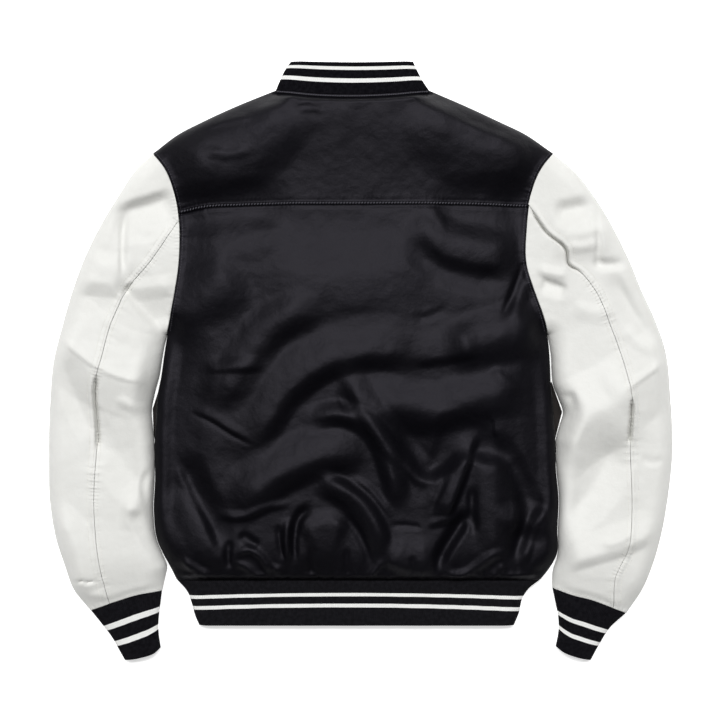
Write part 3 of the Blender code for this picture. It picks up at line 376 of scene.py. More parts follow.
class Line:
    """A smooth line through a table of points, read by the share of its length from 0 to 1."""

    def __init__(self, table, per_span=12):
        points = np.array(table, float)
        knots = np.concatenate([[0], np.cumsum(np.linalg.norm(np.diff(points, axis=0), axis=1))])
        slopes = np.gradient(points, knots, axis=0)
        places = np.unique(np.concatenate(
            [np.linspace(a, b, per_span) for a, b in zip(knots[:-1], knots[1:])]))
        span = np.clip(np.searchsorted(knots, places, side="right") - 1, 0, len(knots) - 2)
        length = (knots[span + 1] - knots[span])[:, None]
        t = (places - knots[span])[:, None] / length
        self.points = ((1 + 2 * t) * (1 - t) ** 2 * points[span]
                       + t * (1 - t) ** 2 * length * slopes[span]
                       + t ** 2 * (3 - 2 * t) * points[span + 1]
                       + t ** 2 * (t - 1) * length * slopes[span + 1])
        steps = np.linalg.norm(np.diff(self.points, axis=0), axis=1)
        self.length = steps.sum()
        self.share = np.concatenate([[0], np.cumsum(steps)]) / self.length

    def __call__(self, share):
        return np.stack([np.interp(share, self.share, axis) for axis in self.points.T], axis=-1)

    def share_at_y(self, y):
        """Where a line that runs steadily down passes a given y."""
        return float(np.interp(-y, -self.points[:, 1], self.share))

    def measure(self, xy, reach):
        """Each point's distance, side (+1 on the left) and place in mm along the line, within that reach."""
        flat = xy.reshape(-1, 2)
        gap, side, place = np.full(len(flat), np.inf), np.ones(len(flat)), np.zeros(len(flat))
        low, high = self.points.min(0) - reach, self.points.max(0) + reach
        close = np.flatnonzero(((flat > low) & (flat < high)).all(1))
        starts, spans = self.points[:-1], self.points[1:] - self.points[:-1]
        steps = np.linalg.norm(spans, axis=1)
        way_x, way_y = (spans / steps[:, None]).T
        before = self.share[:-1] * self.length
        for start in range(0, len(close), CHUNK):
            part = close[start:start + CHUNK]
            dx, dy = (flat[part, k][:, None] - starts[:, k] for k in range(2))
            t = np.clip(dx * way_x + dy * way_y, 0, steps)
            away = (dx - t * way_x) ** 2 + (dy - t * way_y) ** 2
            rows, pick = np.arange(len(part)), away.argmin(1)
            turn = way_x[pick] * dy[rows, pick] - way_y[pick] * dx[rows, pick]
            gap[part] = np.sqrt(away[rows, pick])
            side[part] = np.where(turn > 0, 1, -1)
            place[part] = before[pick] + t[rows, pick]
        return [values.reshape(xy.shape[:-1]) for values in (gap, side, place)]


LINES = {key: Line(table) for key, table in TABLES.items()}
NECK, YOKE, COLLAR_END = (LINES[name, "back"] for name in ("neck", "yoke", "collar_end"))
ARMHOLES, CUFFS = ([LINES[name, side] for side in SIDES] for name in ("armhole", "cuff_seam"))
OUTLINE = [LINES[name, side] for side in SIDES
           for name in ("shoulder", "side", "sleeve_outer", "sleeve_inner", "cuff_outer", "cuff_inner",
                        "hem_side", "collar_side")]
(_, UNDERARM_Y), *_, (_, HEM_Y) = TABLES["side", "left"]
HEM_END_Y = TABLES["hem_side", "left"][-1][1]
YOKE_SHARE = {side: LINES["armhole", side].share_at_y(TABLES["yoke", "back"][FIRST[side]][1])
              for side in SIDES}


def distance_to(lines, xy, reach=60.0):
    """Distance from each point to the nearest of the lines, where that is within reach."""
    return np.min([line.measure(xy, reach)[0] for line in lines], axis=0)


# ---------------------------------------------------------------- heights

def rise(distance, reach):
    """A quarter round: 0 at the edge, 1 at its reach and past it."""
    inward = 1 - np.clip(distance / reach, 0, 1)
    return np.sqrt(np.clip(1 - inward ** 2, 0, 1))


def ease(value):
    value = np.clip(value, 0, 1)
    return value * value * (3 - 2 * value)


def near(distance, width):
    return np.exp(-(distance / width) ** 2)


def fold(xy, height, left, right, sharpness, table):
    """One ridge or hollow, round (0) to creased (1) in section, which fades out at both ends of its line."""
    tip, end = 0.01, 0.26
    line = Line(table, per_span=8)
    gap, side, place = line.measure(xy, max(left, right))
    across = np.clip(gap / np.where(side > 0, left, right), 0, 1)
    crest = (np.sqrt(across ** 2 + tip) - 0.1) / (math.sqrt(1 + tip) - 0.1)
    form = (1 - sharpness) * (1 - across ** 2) ** 2 + sharpness * (1 - crest)
    share = place / line.length
    return height * form * np.where(gap < np.inf, ease(share / end) * ease((1 - share) / end), 0)


def folds(xy, name):
    return sum(fold(xy, *row) for row in FOLDS[name])


def uneven(x, y, seed):
    """Smooth noise without a pattern."""
    return np.array([noise.noise(Vector((a, b, seed))) for a, b in zip(x.flat, y.flat)]).reshape(x.shape)


def slack(xy, size, height, seed):
    """The cloth's own unevenness."""
    return height * uneven(xy[..., 0] / size, xy[..., 1] / size, seed)


def inside(xy, fade):
    """0 on the outline, 1 from that far inside it."""
    return ease(distance_to(OUTLINE, xy) / fade)


def fade_at_edges(xy):
    to_rib = np.minimum(distance_to([NECK], xy), distance_to(CUFFS, xy))
    return inside(xy, FOLD_FADE) * ease(to_rib / RIB_FADE) * ease(np.abs(xy[..., 1] - HEM_Y) / HEM_FADE)


def puff(distance, height, spread, roll):
    """Fullness beside a seam, from its rolled edge on."""
    return height * near(distance, spread) * ease((distance - roll[0]) / roll[1])


def round_up(xy, top, widest=TOP_ROUND):
    """An upper side that reaches its top past a round along the outline."""
    reach = np.clip((top - FOLD_Z) ** 2 / EDGE_BEND, RIB_ROUND, widest)
    return FOLD_Z + (top - FOLD_Z) * rise(distance_to(OUTLINE, xy, TOP_ROUND), reach)


def drop(xy, lines, depth, spread):
    """How far a top sinks towards a seam."""
    return depth * near(distance_to(lines, xy, SPREAD_REACH * spread), spread)


def body_top(xy):
    """The back without its folds: lower at the armholes, the neck and the hem."""
    return round_up(xy, BODY_CROWN - drop(xy, ARMHOLES, BODY_CROWN - ARMHOLE_Z, ARMHOLE_SPREAD)
                    - drop(xy, [NECK], BODY_CROWN - NECK_Z, NECK_SPREAD)
                    - (BODY_CROWN - HEM_Z) * near(xy[..., 1] - HEM_Y, HEM_SPREAD))


def sleeve_top(xy):
    """The sleeves without their folds: lower at the armholes and the cuffs."""
    return round_up(xy, SLEEVE_CROWN - drop(xy, ARMHOLES, SLEEVE_CROWN - ARMHOLE_Z, ARMHOLE_SPREAD)
                    - drop(xy, CUFFS, SLEEVE_CROWN - CUFF_Z, CUFF_SPREAD), SLEEVE_ROUND)


def collar_top(xy):
    return round_up(xy, NECK_Z + (COLLAR_END_Z - NECK_Z) * ease(distance_to([NECK], xy) / COLLAR_WIDTH))


def hem_top(xy):
    return round_up(xy, HEM_Z + (HEM_END_Z - HEM_Z) * ease((HEM_Y - xy[..., 1]) / (HEM_Y - HEM_END_Y)))


def cuff_top(xy):
    to_cuff = distance_to(CUFFS, xy, 2 * CUFF_WIDTH)
    return round_up(xy, CUFF_Z + (CUFF_END_Z - CUFF_Z) * ease(to_cuff / CUFF_WIDTH))


def welt_distance(xy, side):
    """Distance outside a welt's outline, 0 within it."""
    corners = np.array(TABLES["welt", side])
    x, y = xy[..., 0], xy[..., 1]
    within = np.zeros(x.shape, bool)
    for (x0, y0), (x1, y1) in zip(corners, np.roll(corners, -1, axis=0)):
        within ^= ((y0 > y) != (y1 > y)) & (x < (x1 - x0) * (y - y0) / (y1 - y0 + 1e-9) + x0)
    border = Line(np.vstack([corners, corners[:1]]), per_span=6)
    return np.where(within, 0, distance_to([border], xy))


def turned_up(xy):
    """How far an underside has turned up: 1 on the outline, 0 where the cloth lies flat."""
    return 1 - rise(distance_to(OUTLINE, xy, UNDER_ROUND), UNDER_ROUND)


def under_height(side):
    """The front's underside: flat on the surface, lifted over the caps, the other front and the welts."""
    def height(xy):
        x = xy[..., 0]
        if side == "left":
            past = x - (CENTRE_X - OVERLAP) + LIFT_RAMP
        else:
            past = (CENTRE_X + OVERLAP) + PLACKET_SHIFT + LIFT_RAMP - x
        welt = WELT_LIFT * ease((WELT_REACH + WELT_RAMP - welt_distance(xy, side)) / WELT_RAMP)
        flat = np.maximum(EDGE_LIFT[side] * ease(past / LIFT_RAMP), welt)
        return flat + (FOLD_Z - flat) * turned_up(xy)
    return height


def sleeve_under(xy):
    return FOLD_Z * turned_up(xy)


# ---------------------------------------------------------------- seams

def rolled(gap, width, depth):
    """A sewn edge turning down into its seam."""
    return -depth * (1 - rise(gap, width))


def bead(xy, line, middle, height):
    """A narrow cord along a seam, that far from it."""
    return height * near(line.measure(xy, middle + 4 * BEAD_WIDTH)[0] - middle, BEAD_WIDTH)


def seam_relief(xy, line, ridge, width, depth, pucker, seed):
    """What a seam does to the cloth on one of its sides: a ridge, its rolled edge and its puckers."""
    gap, _, place = line.measure(xy, 4 * width)
    gap = np.where(gap < np.inf, gap, 1e3)
    gathers = uneven(place / PUCKER_LENGTH, np.full(place.shape, seed), 0) * near(gap - width / 2, width)
    top = ridge * (1 - ease((gap - 0.55 * width) / (0.6 * width)))
    return top + rolled(gap, SEAM_ROLL, depth) + pucker * gathers


def back_raise(xy, piece):
    """What folds, fullness and seams add to the back: the yoke lies over the body at their seam."""
    to_neck, to_hem = distance_to([NECK], xy, 150.0), xy[..., 1] - HEM_Y
    fuller = (BODY_CROWN - NECK_Z) * near(to_neck, NECK_SPREAD) + NECK_SWELL * near(to_neck, NECK_SWELL_REACH)
    fuller *= ease((to_neck - NECK_ROLL[0]) / NECK_ROLL[1])
    fuller += puff(to_hem, HEM_PUFF * (BODY_CROWN - HEM_Z), HEM_SPREAD, HEM_ROLL)
    fuller *= inside(xy, FOLD_FADE)
    loose = folds(xy, "back") * (1 + LOW_DEPTH * ease((LOW_FOLDS[0] - xy[..., 1]) / LOW_FOLDS[1]))
    loose += slack(xy, 62, 1.3, 2.0) + slack(xy, 21, 0.7, 4.0) + slack(xy, 9, 0.18, 5.0)
    height, width, length, reach = GATHERS
    loose += height * uneven(xy[..., 0] / width, xy[..., 1] / length, 31.0) * near(to_hem, reach)
    if piece == "yoke":
        seams = seam_relief(xy, YOKE, 0.2, 7.0, 0.2, 0.7, 3.0) - bead(xy, YOKE, 2.8, 0.5)
        seams += seam_relief(xy, NECK, 0.4, 4.5, 0.2, 0.6, 5.0) - bead(xy, NECK, 5.0, 2.2)
    else:
        seams = seam_relief(xy, YOKE, -0.2, 4.5, 0.2, 0.8, 7.0) - bead(xy, YOKE, 4.4, 2.2)
        seams += rolled(np.abs(to_hem), 2.2, 1.4)
    for number, line in enumerate(ARMHOLES):
        seams += seam_relief(xy, line, 1.0, 7.0, 1.1, 0.9, 11.0 + number)
    return loose * fade_at_edges(xy) + fuller + seams


def sleeve_raise(xy, side, piece):
    """What folds, fullness and seams add to a sleeve, with the stretches of its seam that are drawn deep."""
    loose = folds(xy, f"sleeve_{side}") + slack(xy, 48, 1.3, 6.0) + slack(xy, 17, 0.35, 8.0)
    to_cuff, to_seam = distance_to(CUFFS, xy, 100.0), distance_to([LINES["arm_seam", side]], xy, 8)
    fuller = puff(to_cuff, CUFF_PUFF * (SLEEVE_CROWN - CUFF_Z), CUFF_SPREAD, CUFF_ROLL) \
        * inside(xy, FOLD_FADE)
    lap = 0.9 if piece == "outer" else -0.2
    for name, *sizes in (("armhole", -0.2, 5.0, 0.7, 0.7, 21.0), ("arm_seam", lap, 6.5, 0.5, 1.1, 23.0),
                         ("cuff_seam", 0.3, 5.0, 1.0, 1.0, 25.0)):
        fuller += seam_relief(xy, LINES[name, side], *sizes)
    for upper, lower, deep, on_outer, on_under in SEAM_SLITS[side]:
        run = ease((upper - xy[..., 1]) / SLIT_END) * ease((xy[..., 1] - lower) / SLIT_END)
        fuller -= deep * run * near(to_seam, on_outer if piece == "outer" else on_under)
    return loose * fade_at_edges(xy) + fuller


# ---------------------------------------------------------------- grids

def graded(length, start, end, step=STEP, between=()):
    """Shares of a length: fine at its start and its end, and in even steps of at most step between."""
    knots = [mm / length for mm in start] + list(between) + [1 - mm / length for mm in end[::-1]]
    knots = sorted(set(np.round(knots, 6)))
    shares = [knots[0]]
    for a, b in zip(knots[:-1], knots[1:]):
        count = max(1, math.ceil((b - a) * length / step - 1e-6))
        shares.extend(a + (b - a) * k / count for k in range(1, count + 1))
    return np.array(shares)


def patch(start_side, end_side, first_row, last_row, across, down):
    """A grid that fills four lines: two sides, a first row and a last row."""
    u, v = np.asarray(across)[None, :, None], np.asarray(down)[:, None, None]
    corners = ((1 - u) * (1 - v) * first_row[0] + u * (1 - v) * first_row[-1]
               + (1 - u) * v * last_row[0] + u * v * last_row[-1])
    return ((1 - u) * start_side[:, None] + u * end_side[:, None]
            + (1 - v) * first_row[None] + v * last_row[None] - corners)


def between_sides(start_side, end_side, shares):
    """A grid of straight rows between two sides."""
    return start_side[:, None] + shares[None, :, None] * (end_side - start_side)[:, None]


def unit(vectors):
    return vectors / np.maximum(np.linalg.norm(vectors, axis=-1, keepdims=True), 1e-9)


def trim_ways(xy, rows, columns):
    """Level ways into a piece from its sewn edges, square to them and mitred where two of them meet."""
    ways = np.zeros_like(xy)
    for grid, target, edges in ((xy, ways, rows), (xy.transpose(1, 0, 2), ways.transpose(1, 0, 2), columns)):
        for edge, place in edges.items():
            inward = grid[1 if edge == 0 else -2, place] - grid[edge, place]
            along = unit(np.gradient(grid[edge, place], axis=0))
            way = unit(inward - (inward * along).sum(-1, keepdims=True) * along)
            before = target[edge, place]
            target[edge, place] = (before + way) / (1 + (before * way).sum(-1, keepdims=True))
    return ways


def inward_ways(xy, rows=(), columns=(), underarm=None):
    """From each point of an edge to its neighbour inside the piece, and at an underarm up the armhole."""
    ways = np.zeros_like(xy)
    for row in rows:
        ways[row] = xy[1 if row == 0 else -2] - xy[row]
    for column in columns:
        ways[:, column] = xy[:, 1 if column == 0 else -2] - xy[:, column]
        if underarm is not None:
            ways[underarm, column] = xy[underarm - 1, column] - xy[underarm, column]
    return ways


def sheet(xy, height, up, inward, trim, raised=None, lift=None, labelled=None):
    """One grid of a wall: its points, their normals, the height its folds add, and its two labels."""
    touching = distance_to(OUTLINE, xy, 1.0) < EDGE_TOUCH
    spots = xy + PROBE * unit(inward) * touching[..., None]
    slopes = [(height(spots + step) - height(spots - step)) / (2 * SLOPE_STEP)
              for step in np.eye(2) * SLOPE_STEP]
    normals = np.stack([-slopes[0], -slopes[1], np.ones(xy.shape[:2])], axis=-1)
    normals = unit(normals if up else -normals)
    normals = np.where(touching[..., None], unit(normals * [1, 1, 0]), normals)
    across = np.concatenate([unit(trim), np.zeros(xy.shape[:2] + (1,))], axis=-1)
    normals = unit(normals - (normals * across).sum(-1, keepdims=True) * across)
    z = height(xy) + (0 if lift is None else lift * touching)
    points = np.concatenate([xy + HALF_GAP * trim, z[..., None]], axis=-1)
    added = np.zeros(xy.shape[:2]) if raised is None else np.where(touching, 0, raised)
    return points, normals, added, np.zeros(xy.shape) if labelled is None else labelled


def seam_grid(xy, lines):
    """Each point's place along the nearest seam, and its distance from it."""
    place, gap = np.zeros(xy.shape[:-1]), np.full(xy.shape[:-1], PUCKER_REACH)
    for line in lines:
        away, _, along = line.measure(xy, PUCKER_REACH)
        nearer = away < gap
        gap, place = np.where(nearer, away, gap), np.where(nearer, along, place)
    return np.stack([place, gap], axis=-1)


# ---------------------------------------------------------------- meshes

def new_object(name, points, edges, faces):
    """A mesh object in the scene, from points in millimetres."""
    mesh = bpy.data.meshes.new(name)
    mesh.from_pydata([[MM * part for part in point] for point in points], edges, faces)
    made = bpy.data.objects.new(name, mesh)
    bpy.context.scene.collection.objects.link(made)
    return made


def wall(name, sheets, thickness, labels=("seam_place", "seam_gap")):
    """A cloth wall: welded outer grids, the same set in, and a rim along each open edge."""
    keys, faces, start = [], [], 0
    for points, normals, added, _ in sheets:
        keys.append(np.round(points.reshape(-1, 3), 3))
        numbers = start + np.arange(added.size).reshape(added.shape)
        quads = np.stack([numbers[:-1, :-1], numbers[:-1, 1:], numbers[1:, 1:], numbers[1:, :-1]], axis=-1)
        row, column = (size // 2 for size in added.shape)
        turn = np.cross(points[row, column] - points[row, column - 1],
                        points[row, column] - points[row - 1, column])
        quads = quads.reshape(-1, 4)
        faces.append(quads[:, ::-1] if (turn * normals[row, column]).sum() < 0 else quads)
        start += added.size
    _, first, back = np.unique(np.concatenate(keys), axis=0, return_index=True, return_inverse=True)
    spots, normals, added, values = (
        np.concatenate([part.reshape(-1, width) for part in parts])[first]
        for parts, width in zip(zip(*sheets), (3, 3, 1, 2)))
    added = added * np.array([[0, 0, 1]])
    outer, inner = spots + added, spots - thickness * normals + added
    polygons = []
    for quad in back.reshape(-1)[np.concatenate(faces)].tolist():
        corners = [corner for k, corner in enumerate(quad) if corner != quad[k - 1]]
        if len(corners) > 2:
            polygons.append(corners)
    count = len(first)
    edges = {(face[k], face[(k + 1) % len(face)]) for face in polygons for k in range(len(face))}
    rims = [[b, a, a + count, b + count] for a, b in sorted(edges) if (b, a) not in edges]
    lining = [[corner + count for corner in reversed(face)] for face in polygons]
    made = new_object(name, np.concatenate([outer, inner]).tolist(), [], polygons + lining + rims)
    outside = np.repeat([1.0, 0.0], count)
    for label, column in zip(labels + ("outside",), (*np.concatenate([values, values]).T, outside)):
        layer = made.data.attributes.new(label, "FLOAT", "POINT")
        layer.data.foreach_set("value", column.astype(np.float32))
    made.data.shade_smooth()
    made.data.set_sharp_from_angle(angle=math.radians(SHARP_EDGE))
    return made


# ---------------------------------------------------------------- body

(SHOULDER_LEFT, _), (SHOULDER_RIGHT, _) = (TABLES["shoulder", side][0] for side in SIDES)
BACK_WIDTH = SHOULDER_RIGHT - SHOULDER_LEFT
NECK_LEFT, NECK_RIGHT = ((TABLES["neck", "back"][end][0] - SHOULDER_LEFT) / BACK_WIDTH for end in (0, -1))
CORNER = np.array([0, 0.8, 2.0, 4.0]) / BACK_WIDTH
COLUMNS = graded(BACK_WIDTH, FINE_EDGE, FINE_EDGE,
                 between=list(NECK_LEFT + CORNER) + list(NECK_RIGHT - CORNER))
BEFORE_NECK, AFTER_NECK = COLUMNS < NECK_LEFT - SAME_SHARE, COLUMNS > NECK_RIGHT + SAME_SHARE
ON_NECK = ~(BEFORE_NECK | AFTER_NECK)
YOKE_ROWS = graded(YOKE_DEPTH, FINE_EDGE, FINE_SEAM)
ARM_ROWS = graded(ARM_DEPTH, FINE_SEAM, FINE_EDGE, between=[SEAM_START["left"]])


def side_rows(end, step=STEP):
    """Heights of the rows from the underarm to the hem, and the points of both side seams there."""
    length = UNDERARM_Y - HEM_Y
    rows = UNDERARM_Y - graded(length, FINE_EDGE, end, step)[1:] * length
    return rows, {side: LINES["side", side]([LINES["side", side].share_at_y(y) for y in rows])
                  for side in SIDES}


def make_yoke():
    sides = [LINES["armhole", side](YOKE_ROWS * YOKE_SHARE[side]) for side in SIDES]
    top = np.concatenate([LINES["shoulder", "left"](COLUMNS[BEFORE_NECK] / NECK_LEFT),
                          NECK((COLUMNS[ON_NECK] - NECK_LEFT) / (NECK_RIGHT - NECK_LEFT)),
                          LINES["shoulder", "right"]((1 - COLUMNS[AFTER_NECK]) / (1 - NECK_RIGHT))])
    xy = patch(*sides, top, YOKE(COLUMNS), COLUMNS, YOKE_ROWS)
    inward = inward_ways(xy, rows=[0])
    first, *_, last = np.flatnonzero(ON_NECK)
    inward[0, first] = xy[0, first + 1] - xy[0, first]
    inward[0, last] = xy[0, last - 1] - xy[0, last]
    trim = trim_ways(xy, {0: slice(first, last + 1), -1: EVERY}, {0: EVERY, -1: EVERY})
    return wall("yoke_panel", [sheet(xy, body_top, True, inward, trim, back_raise(xy, "yoke"), HALF_GAP,
                                     seam_grid(xy, [YOKE, NECK] + ARMHOLES))], SHELL)


def make_back():
    left, right = (LINES["armhole", side](YOKE_SHARE[side] + ARM_ROWS * (1 - YOKE_SHARE[side]))
                   for side in SIDES)
    level = left[-1] + COLUMNS[:, None] * (right[-1] - left[-1])
    upper = patch(left, right, YOKE(COLUMNS), level, COLUMNS, ARM_ROWS)
    seams = side_rows(FINE_SEAM)[1]
    xy = np.concatenate([upper, between_sides(seams["left"], seams["right"], COLUMNS)])
    underarm = len(upper) - 1
    inward = inward_ways(xy, columns=[0, -1], underarm=underarm)
    armhole = slice(0, underarm + 1)
    trim = trim_ways(xy, {0: EVERY, -1: EVERY}, {0: armhole, -1: armhole})
    return wall("back_panel", [sheet(xy, body_top, True, inward, trim, back_raise(xy, "body"), HALF_GAP,
                                     seam_grid(xy, [YOKE] + ARMHOLES))], SHELL)


def under_raise(xy, side):
    """Low folds of a front, none where the fronts overlap, beside the welt or at the outline."""
    to_overlap = np.abs(xy[..., 0] - CENTRE_X) - OVERLAP
    clear = ease((to_overlap - OVERLAP_CLEAR[0]) / OVERLAP_CLEAR[1])
    clear *= ease((welt_distance(xy, side) - WELT_CLEAR[0]) / WELT_CLEAR[1])
    return folds(xy, f"front_{side}") * clear * inside(xy, UNDER_FADE) \
        * ease(np.abs(xy[..., 1] - HEM_Y) / UNDER_HEM_FADE)


def make_front(side):
    """A front in two grids: beside the neckline, and below it down to the hem."""
    armhole, neckline = LINES["armhole", side], LINES["neck_front", side]
    steep = graded(NECKLINE_LENGTH * NECKLINE_BEND, FINE_EDGE, [0], UNDER_STEP)
    turn = YOKE_SHARE[side] * FRONT_TURN
    beside = armhole(steep * turn)
    before = graded(FRONT_WIDTH, FINE_EDGE, [0], UNDER_STEP)
    before = np.append(before[before <= BEND_COLUMN][:-1], BEND_COLUMN)
    after = np.linspace(BEND_COLUMN, 1, BENT_COLUMNS)
    across = before / BEND_COLUMN
    middle = beside[-1] + across[:, None] * (neckline(NECKLINE_BEND) - beside[-1])
    upper = patch(beside, neckline(steep * NECKLINE_BEND), LINES["shoulder", side](across), middle, across,
                  steep)
    columns = np.concatenate([before, after[1:]])
    flat = neckline(NECKLINE_BEND + (1 - NECKLINE_BEND) * (after - BEND_COLUMN) / (1 - BEND_COLUMN))
    first = np.concatenate([middle, flat[1:]])
    down = graded(ARM_DEPTH, [0], FINE_EDGE, UNDER_STEP)
    run = armhole(turn + (1 - turn) * down)
    corner = np.array([first[-1, 0], UNDERARM_Y])
    placket = first[-1] + down[:, None] * (corner - first[-1])
    top = patch(run, placket, first, run[-1] + columns[:, None] * (corner - run[-1]), columns, down)
    rows, seams = side_rows(FINE_UNDER, UNDER_STEP)
    end = np.stack([np.full(len(rows), first[-1, 0]), rows], axis=1)
    lower = np.concatenate([top, between_sides(seams[side], end, columns)])

    underarm, bend = len(run) - 1, len(before) - 1
    upper_trim = trim_ways(upper, {}, {0: EVERY, -1: EVERY})
    lower_trim = trim_ways(lower, {0: slice(bend, None), -1: EVERY}, {0: slice(0, underarm + 1)})
    upper_trim[-1, 0] = lower_trim[0, 0]
    lower_trim[0, bend] = upper_trim[-1, -1] = unit(upper_trim[-1, -1] + lower_trim[0, bend])
    inward = inward_ways(lower, columns=[0], underarm=underarm)
    return wall(f"front_{side}_panel", [
        sheet(xy, under_height(side), False, ways, trim, under_raise(xy, side), -HALF_GAP)
        for xy, ways, trim in ((upper, inward_ways(upper, rows=[0]), upper_trim),
                               (lower, inward, lower_trim))], SHELL)


# ---------------------------------------------------------------- sleeves

def sleeve_grids(side):
    """The sleeve in plan: its outer piece beside the arm seam, and its under piece on the body's side."""
    armhole, arm_seam, cuff = (LINES[name, side] for name in ("armhole", "arm_seam", "cuff_seam"))
    start = YOKE_SHARE[side] + SEAM_START[side] * (1 - YOKE_SHARE[side])
    follow = graded(ARM_DEPTH * 0.9, FINE_SEAM, FINE_EDGE)
    turn = arm_seam.share_at_y(UNDERARM_Y + SEAM_TURN)
    below = graded(SLEEVE_DEPTH, FINE_EDGE, FINE_SEAM)[1:]
    down = np.concatenate([follow * turn, turn + (1 - turn) * below])
    seam, outer = arm_seam(down), LINES["sleeve_outer", side](down)
    seam[0] = armhole(start)
    split = float(cuff.share[np.linalg.norm(cuff.points - seam[-1], axis=1).argmin()])
    seam[-1] = cuff(split)
    inner = np.concatenate([armhole(start + (1 - start) * follow), LINES["sleeve_inner", side](below)])
    across = graded(OUTER_WIDTH, FINE_EDGE, FINE_SEAM)
    outer_piece = patch(outer, seam, armhole(across * start), cuff(across * split), across, down)
    across = graded(UNDER_WIDTH, FINE_SEAM, FINE_EDGE)
    first = seam[0] + across[:, None] * (inner[0] - seam[0])
    under_piece = patch(seam, inner, first, cuff(split + across * (1 - split)), across, down ** FAN_POWER)
    return outer_piece, under_piece[1:], len(follow) - 2


def make_sleeve(side, piece):
    outer, under, underarm = sleeve_grids(side)
    if piece == "outer":
        xy, inward = outer, inward_ways(outer, columns=[0])
        trim = trim_ways(xy, {0: EVERY, -1: EVERY}, {-1: EVERY})
    else:
        xy, inward = under, inward_ways(under, columns=[-1], underarm=underarm)
        trim = trim_ways(xy, {-1: EVERY}, {0: EVERY, -1: slice(0, underarm + 1)})
    seams = [LINES[name, side] for name in ("armhole", "arm_seam", "cuff_seam")]
    below = folds(xy, f"sleeve_under_{side}") * inside(xy, UNDER_FADE) \
        * ease(distance_to(seams[2:], xy) / RIB_FADE)
    return wall(f"sleeve_{side}_{piece}_panel",
                [sheet(xy, sleeve_top, True, inward, trim, sleeve_raise(xy, side, piece), None,
                       seam_grid(xy, seams)),
                 sheet(xy, sleeve_under, False, inward, trim, below)], SHELL)


# ---------------------------------------------------------------- ribs

def wale_shares(length):
    """Shares across a rib, four to each wale of the knit, and the wale number at each."""
    count = round(length / WALE)
    shares = np.linspace(0, 1, count * SAMPLES_PER_WALE + 1)
    return shares, shares * count


def rib_rows(length):
    return graded(length, FINE_RIB_SEAM, FINE_RIB_END, RIB_STEP)


def rib_sheet(xy, height, up, trim, wales, down, length, columns=(0, -1)):
    """One side of a rib. From above, its seam and open end turn over, and it is a little uneven."""
    course = down[:, None] * length * np.ones(xy.shape[1])
    raised = None
    if up:
        raised = rolled(length - course, *RIB_END_ROLL) + rolled(course, *RIB_SEAM_ROLL)
        raised += slack(xy, 30, 0.5, 12.0)
    knit = np.stack(np.broadcast_arrays(wales[None, :], course), axis=-1)
    return sheet(xy, height, up, inward_ways(xy, columns=columns), trim, raised, None, knit)


def banded(name, length, wales, side_line, top, xy, parts):
    """A rib round the body: its upper side, and two parts under it from the outline to the front edges."""
    down = rib_rows(length)
    trim = trim_ways(xy, {0: EVERY}, {})
    sheets = [rib_sheet(xy, top, True, trim, wales, down, length)]
    for side, (more, seam, end) in parts.items():
        edge = seam[-1] + down[:, None] * (end[-1] - seam[-1])
        under = patch(LINES[side_line, side](down), edge, seam, end, np.linspace(0, 1, len(seam)), down)
        under_trim = trim_ways(under, {0: EVERY}, {})
        under_trim[0, 0] = trim[0, FIRST[side]]
        sheets.append(rib_sheet(under, under_height(side), False, under_trim,
                                -more if side == "left" else wales[-1] + more, down, length, [0]))
    return wall(name, sheets, KNIT, KNIT_LABELS)


def make_hem():
    down = rib_rows(HEM_LENGTH)
    starts, ends = ({side: np.array(TABLES[name, side][-1]) for side in SIDES}
                    for name in ("side", "hem_side"))
    shares, wales = wale_shares(starts["right"][0] - starts["left"][0])
    sides = [LINES["hem_side", side](down) for side in SIDES]
    rows = [sides[0][row] + shares[:, None] * (sides[1][row] - sides[0][row]) for row in (0, -1)]
    parts = {}
    across, more = wale_shares(FRONT_WIDTH)
    for side, sign in zip(SIDES, (1, -1)):
        parts[side] = (more, *(
            start + across[:, None] * (np.array([CENTRE_X + sign * OVERLAP, start[1]]) - start)
            for start in (starts[side], ends[side])))
    xy = patch(*sides, *rows, shares, down)
    return banded("hem_knit", HEM_LENGTH, wales, "hem_side", hem_top, xy, parts)


def make_collar():
    down = rib_rows(COLLAR_LENGTH)
    shares, wales = wale_shares(NECK.length)
    sides = [LINES["collar_side", side](down) for side in SIDES]
    across, more = wale_shares(NECKLINE_LENGTH)
    parts = {side: (more, LINES["neck_front", side](across), LINES["collar_front_end", side](across))
             for side in SIDES}
    xy = patch(*sides, NECK(shares), COLLAR_END(shares), shares, down)
    return banded("collar_knit", COLLAR_LENGTH, wales, "collar_side", collar_top, xy, parts)


def make_cuff(side):
    down = rib_rows(CUFF_LENGTH)
    shares, wales = wale_shares(LINES["cuff_seam", side].length)
    lines = [LINES[f"cuff_{name}", side](spots)
             for name, spots in (("outer", down), ("inner", down), ("seam", shares), ("end", shares))]
    xy = patch(*lines, shares, down)
    trim = trim_ways(xy, {0: EVERY}, {})
    return wall(f"cuff_{side}_knit",
                [rib_sheet(xy, cuff_top, True, trim, wales, down, CUFF_LENGTH),
                 rib_sheet(xy, sleeve_under, False, trim, 2 * wales[-1] - wales, down, CUFF_LENGTH)],
                KNIT, KNIT_LABELS)


# ---------------------------------------------------------------- node trees

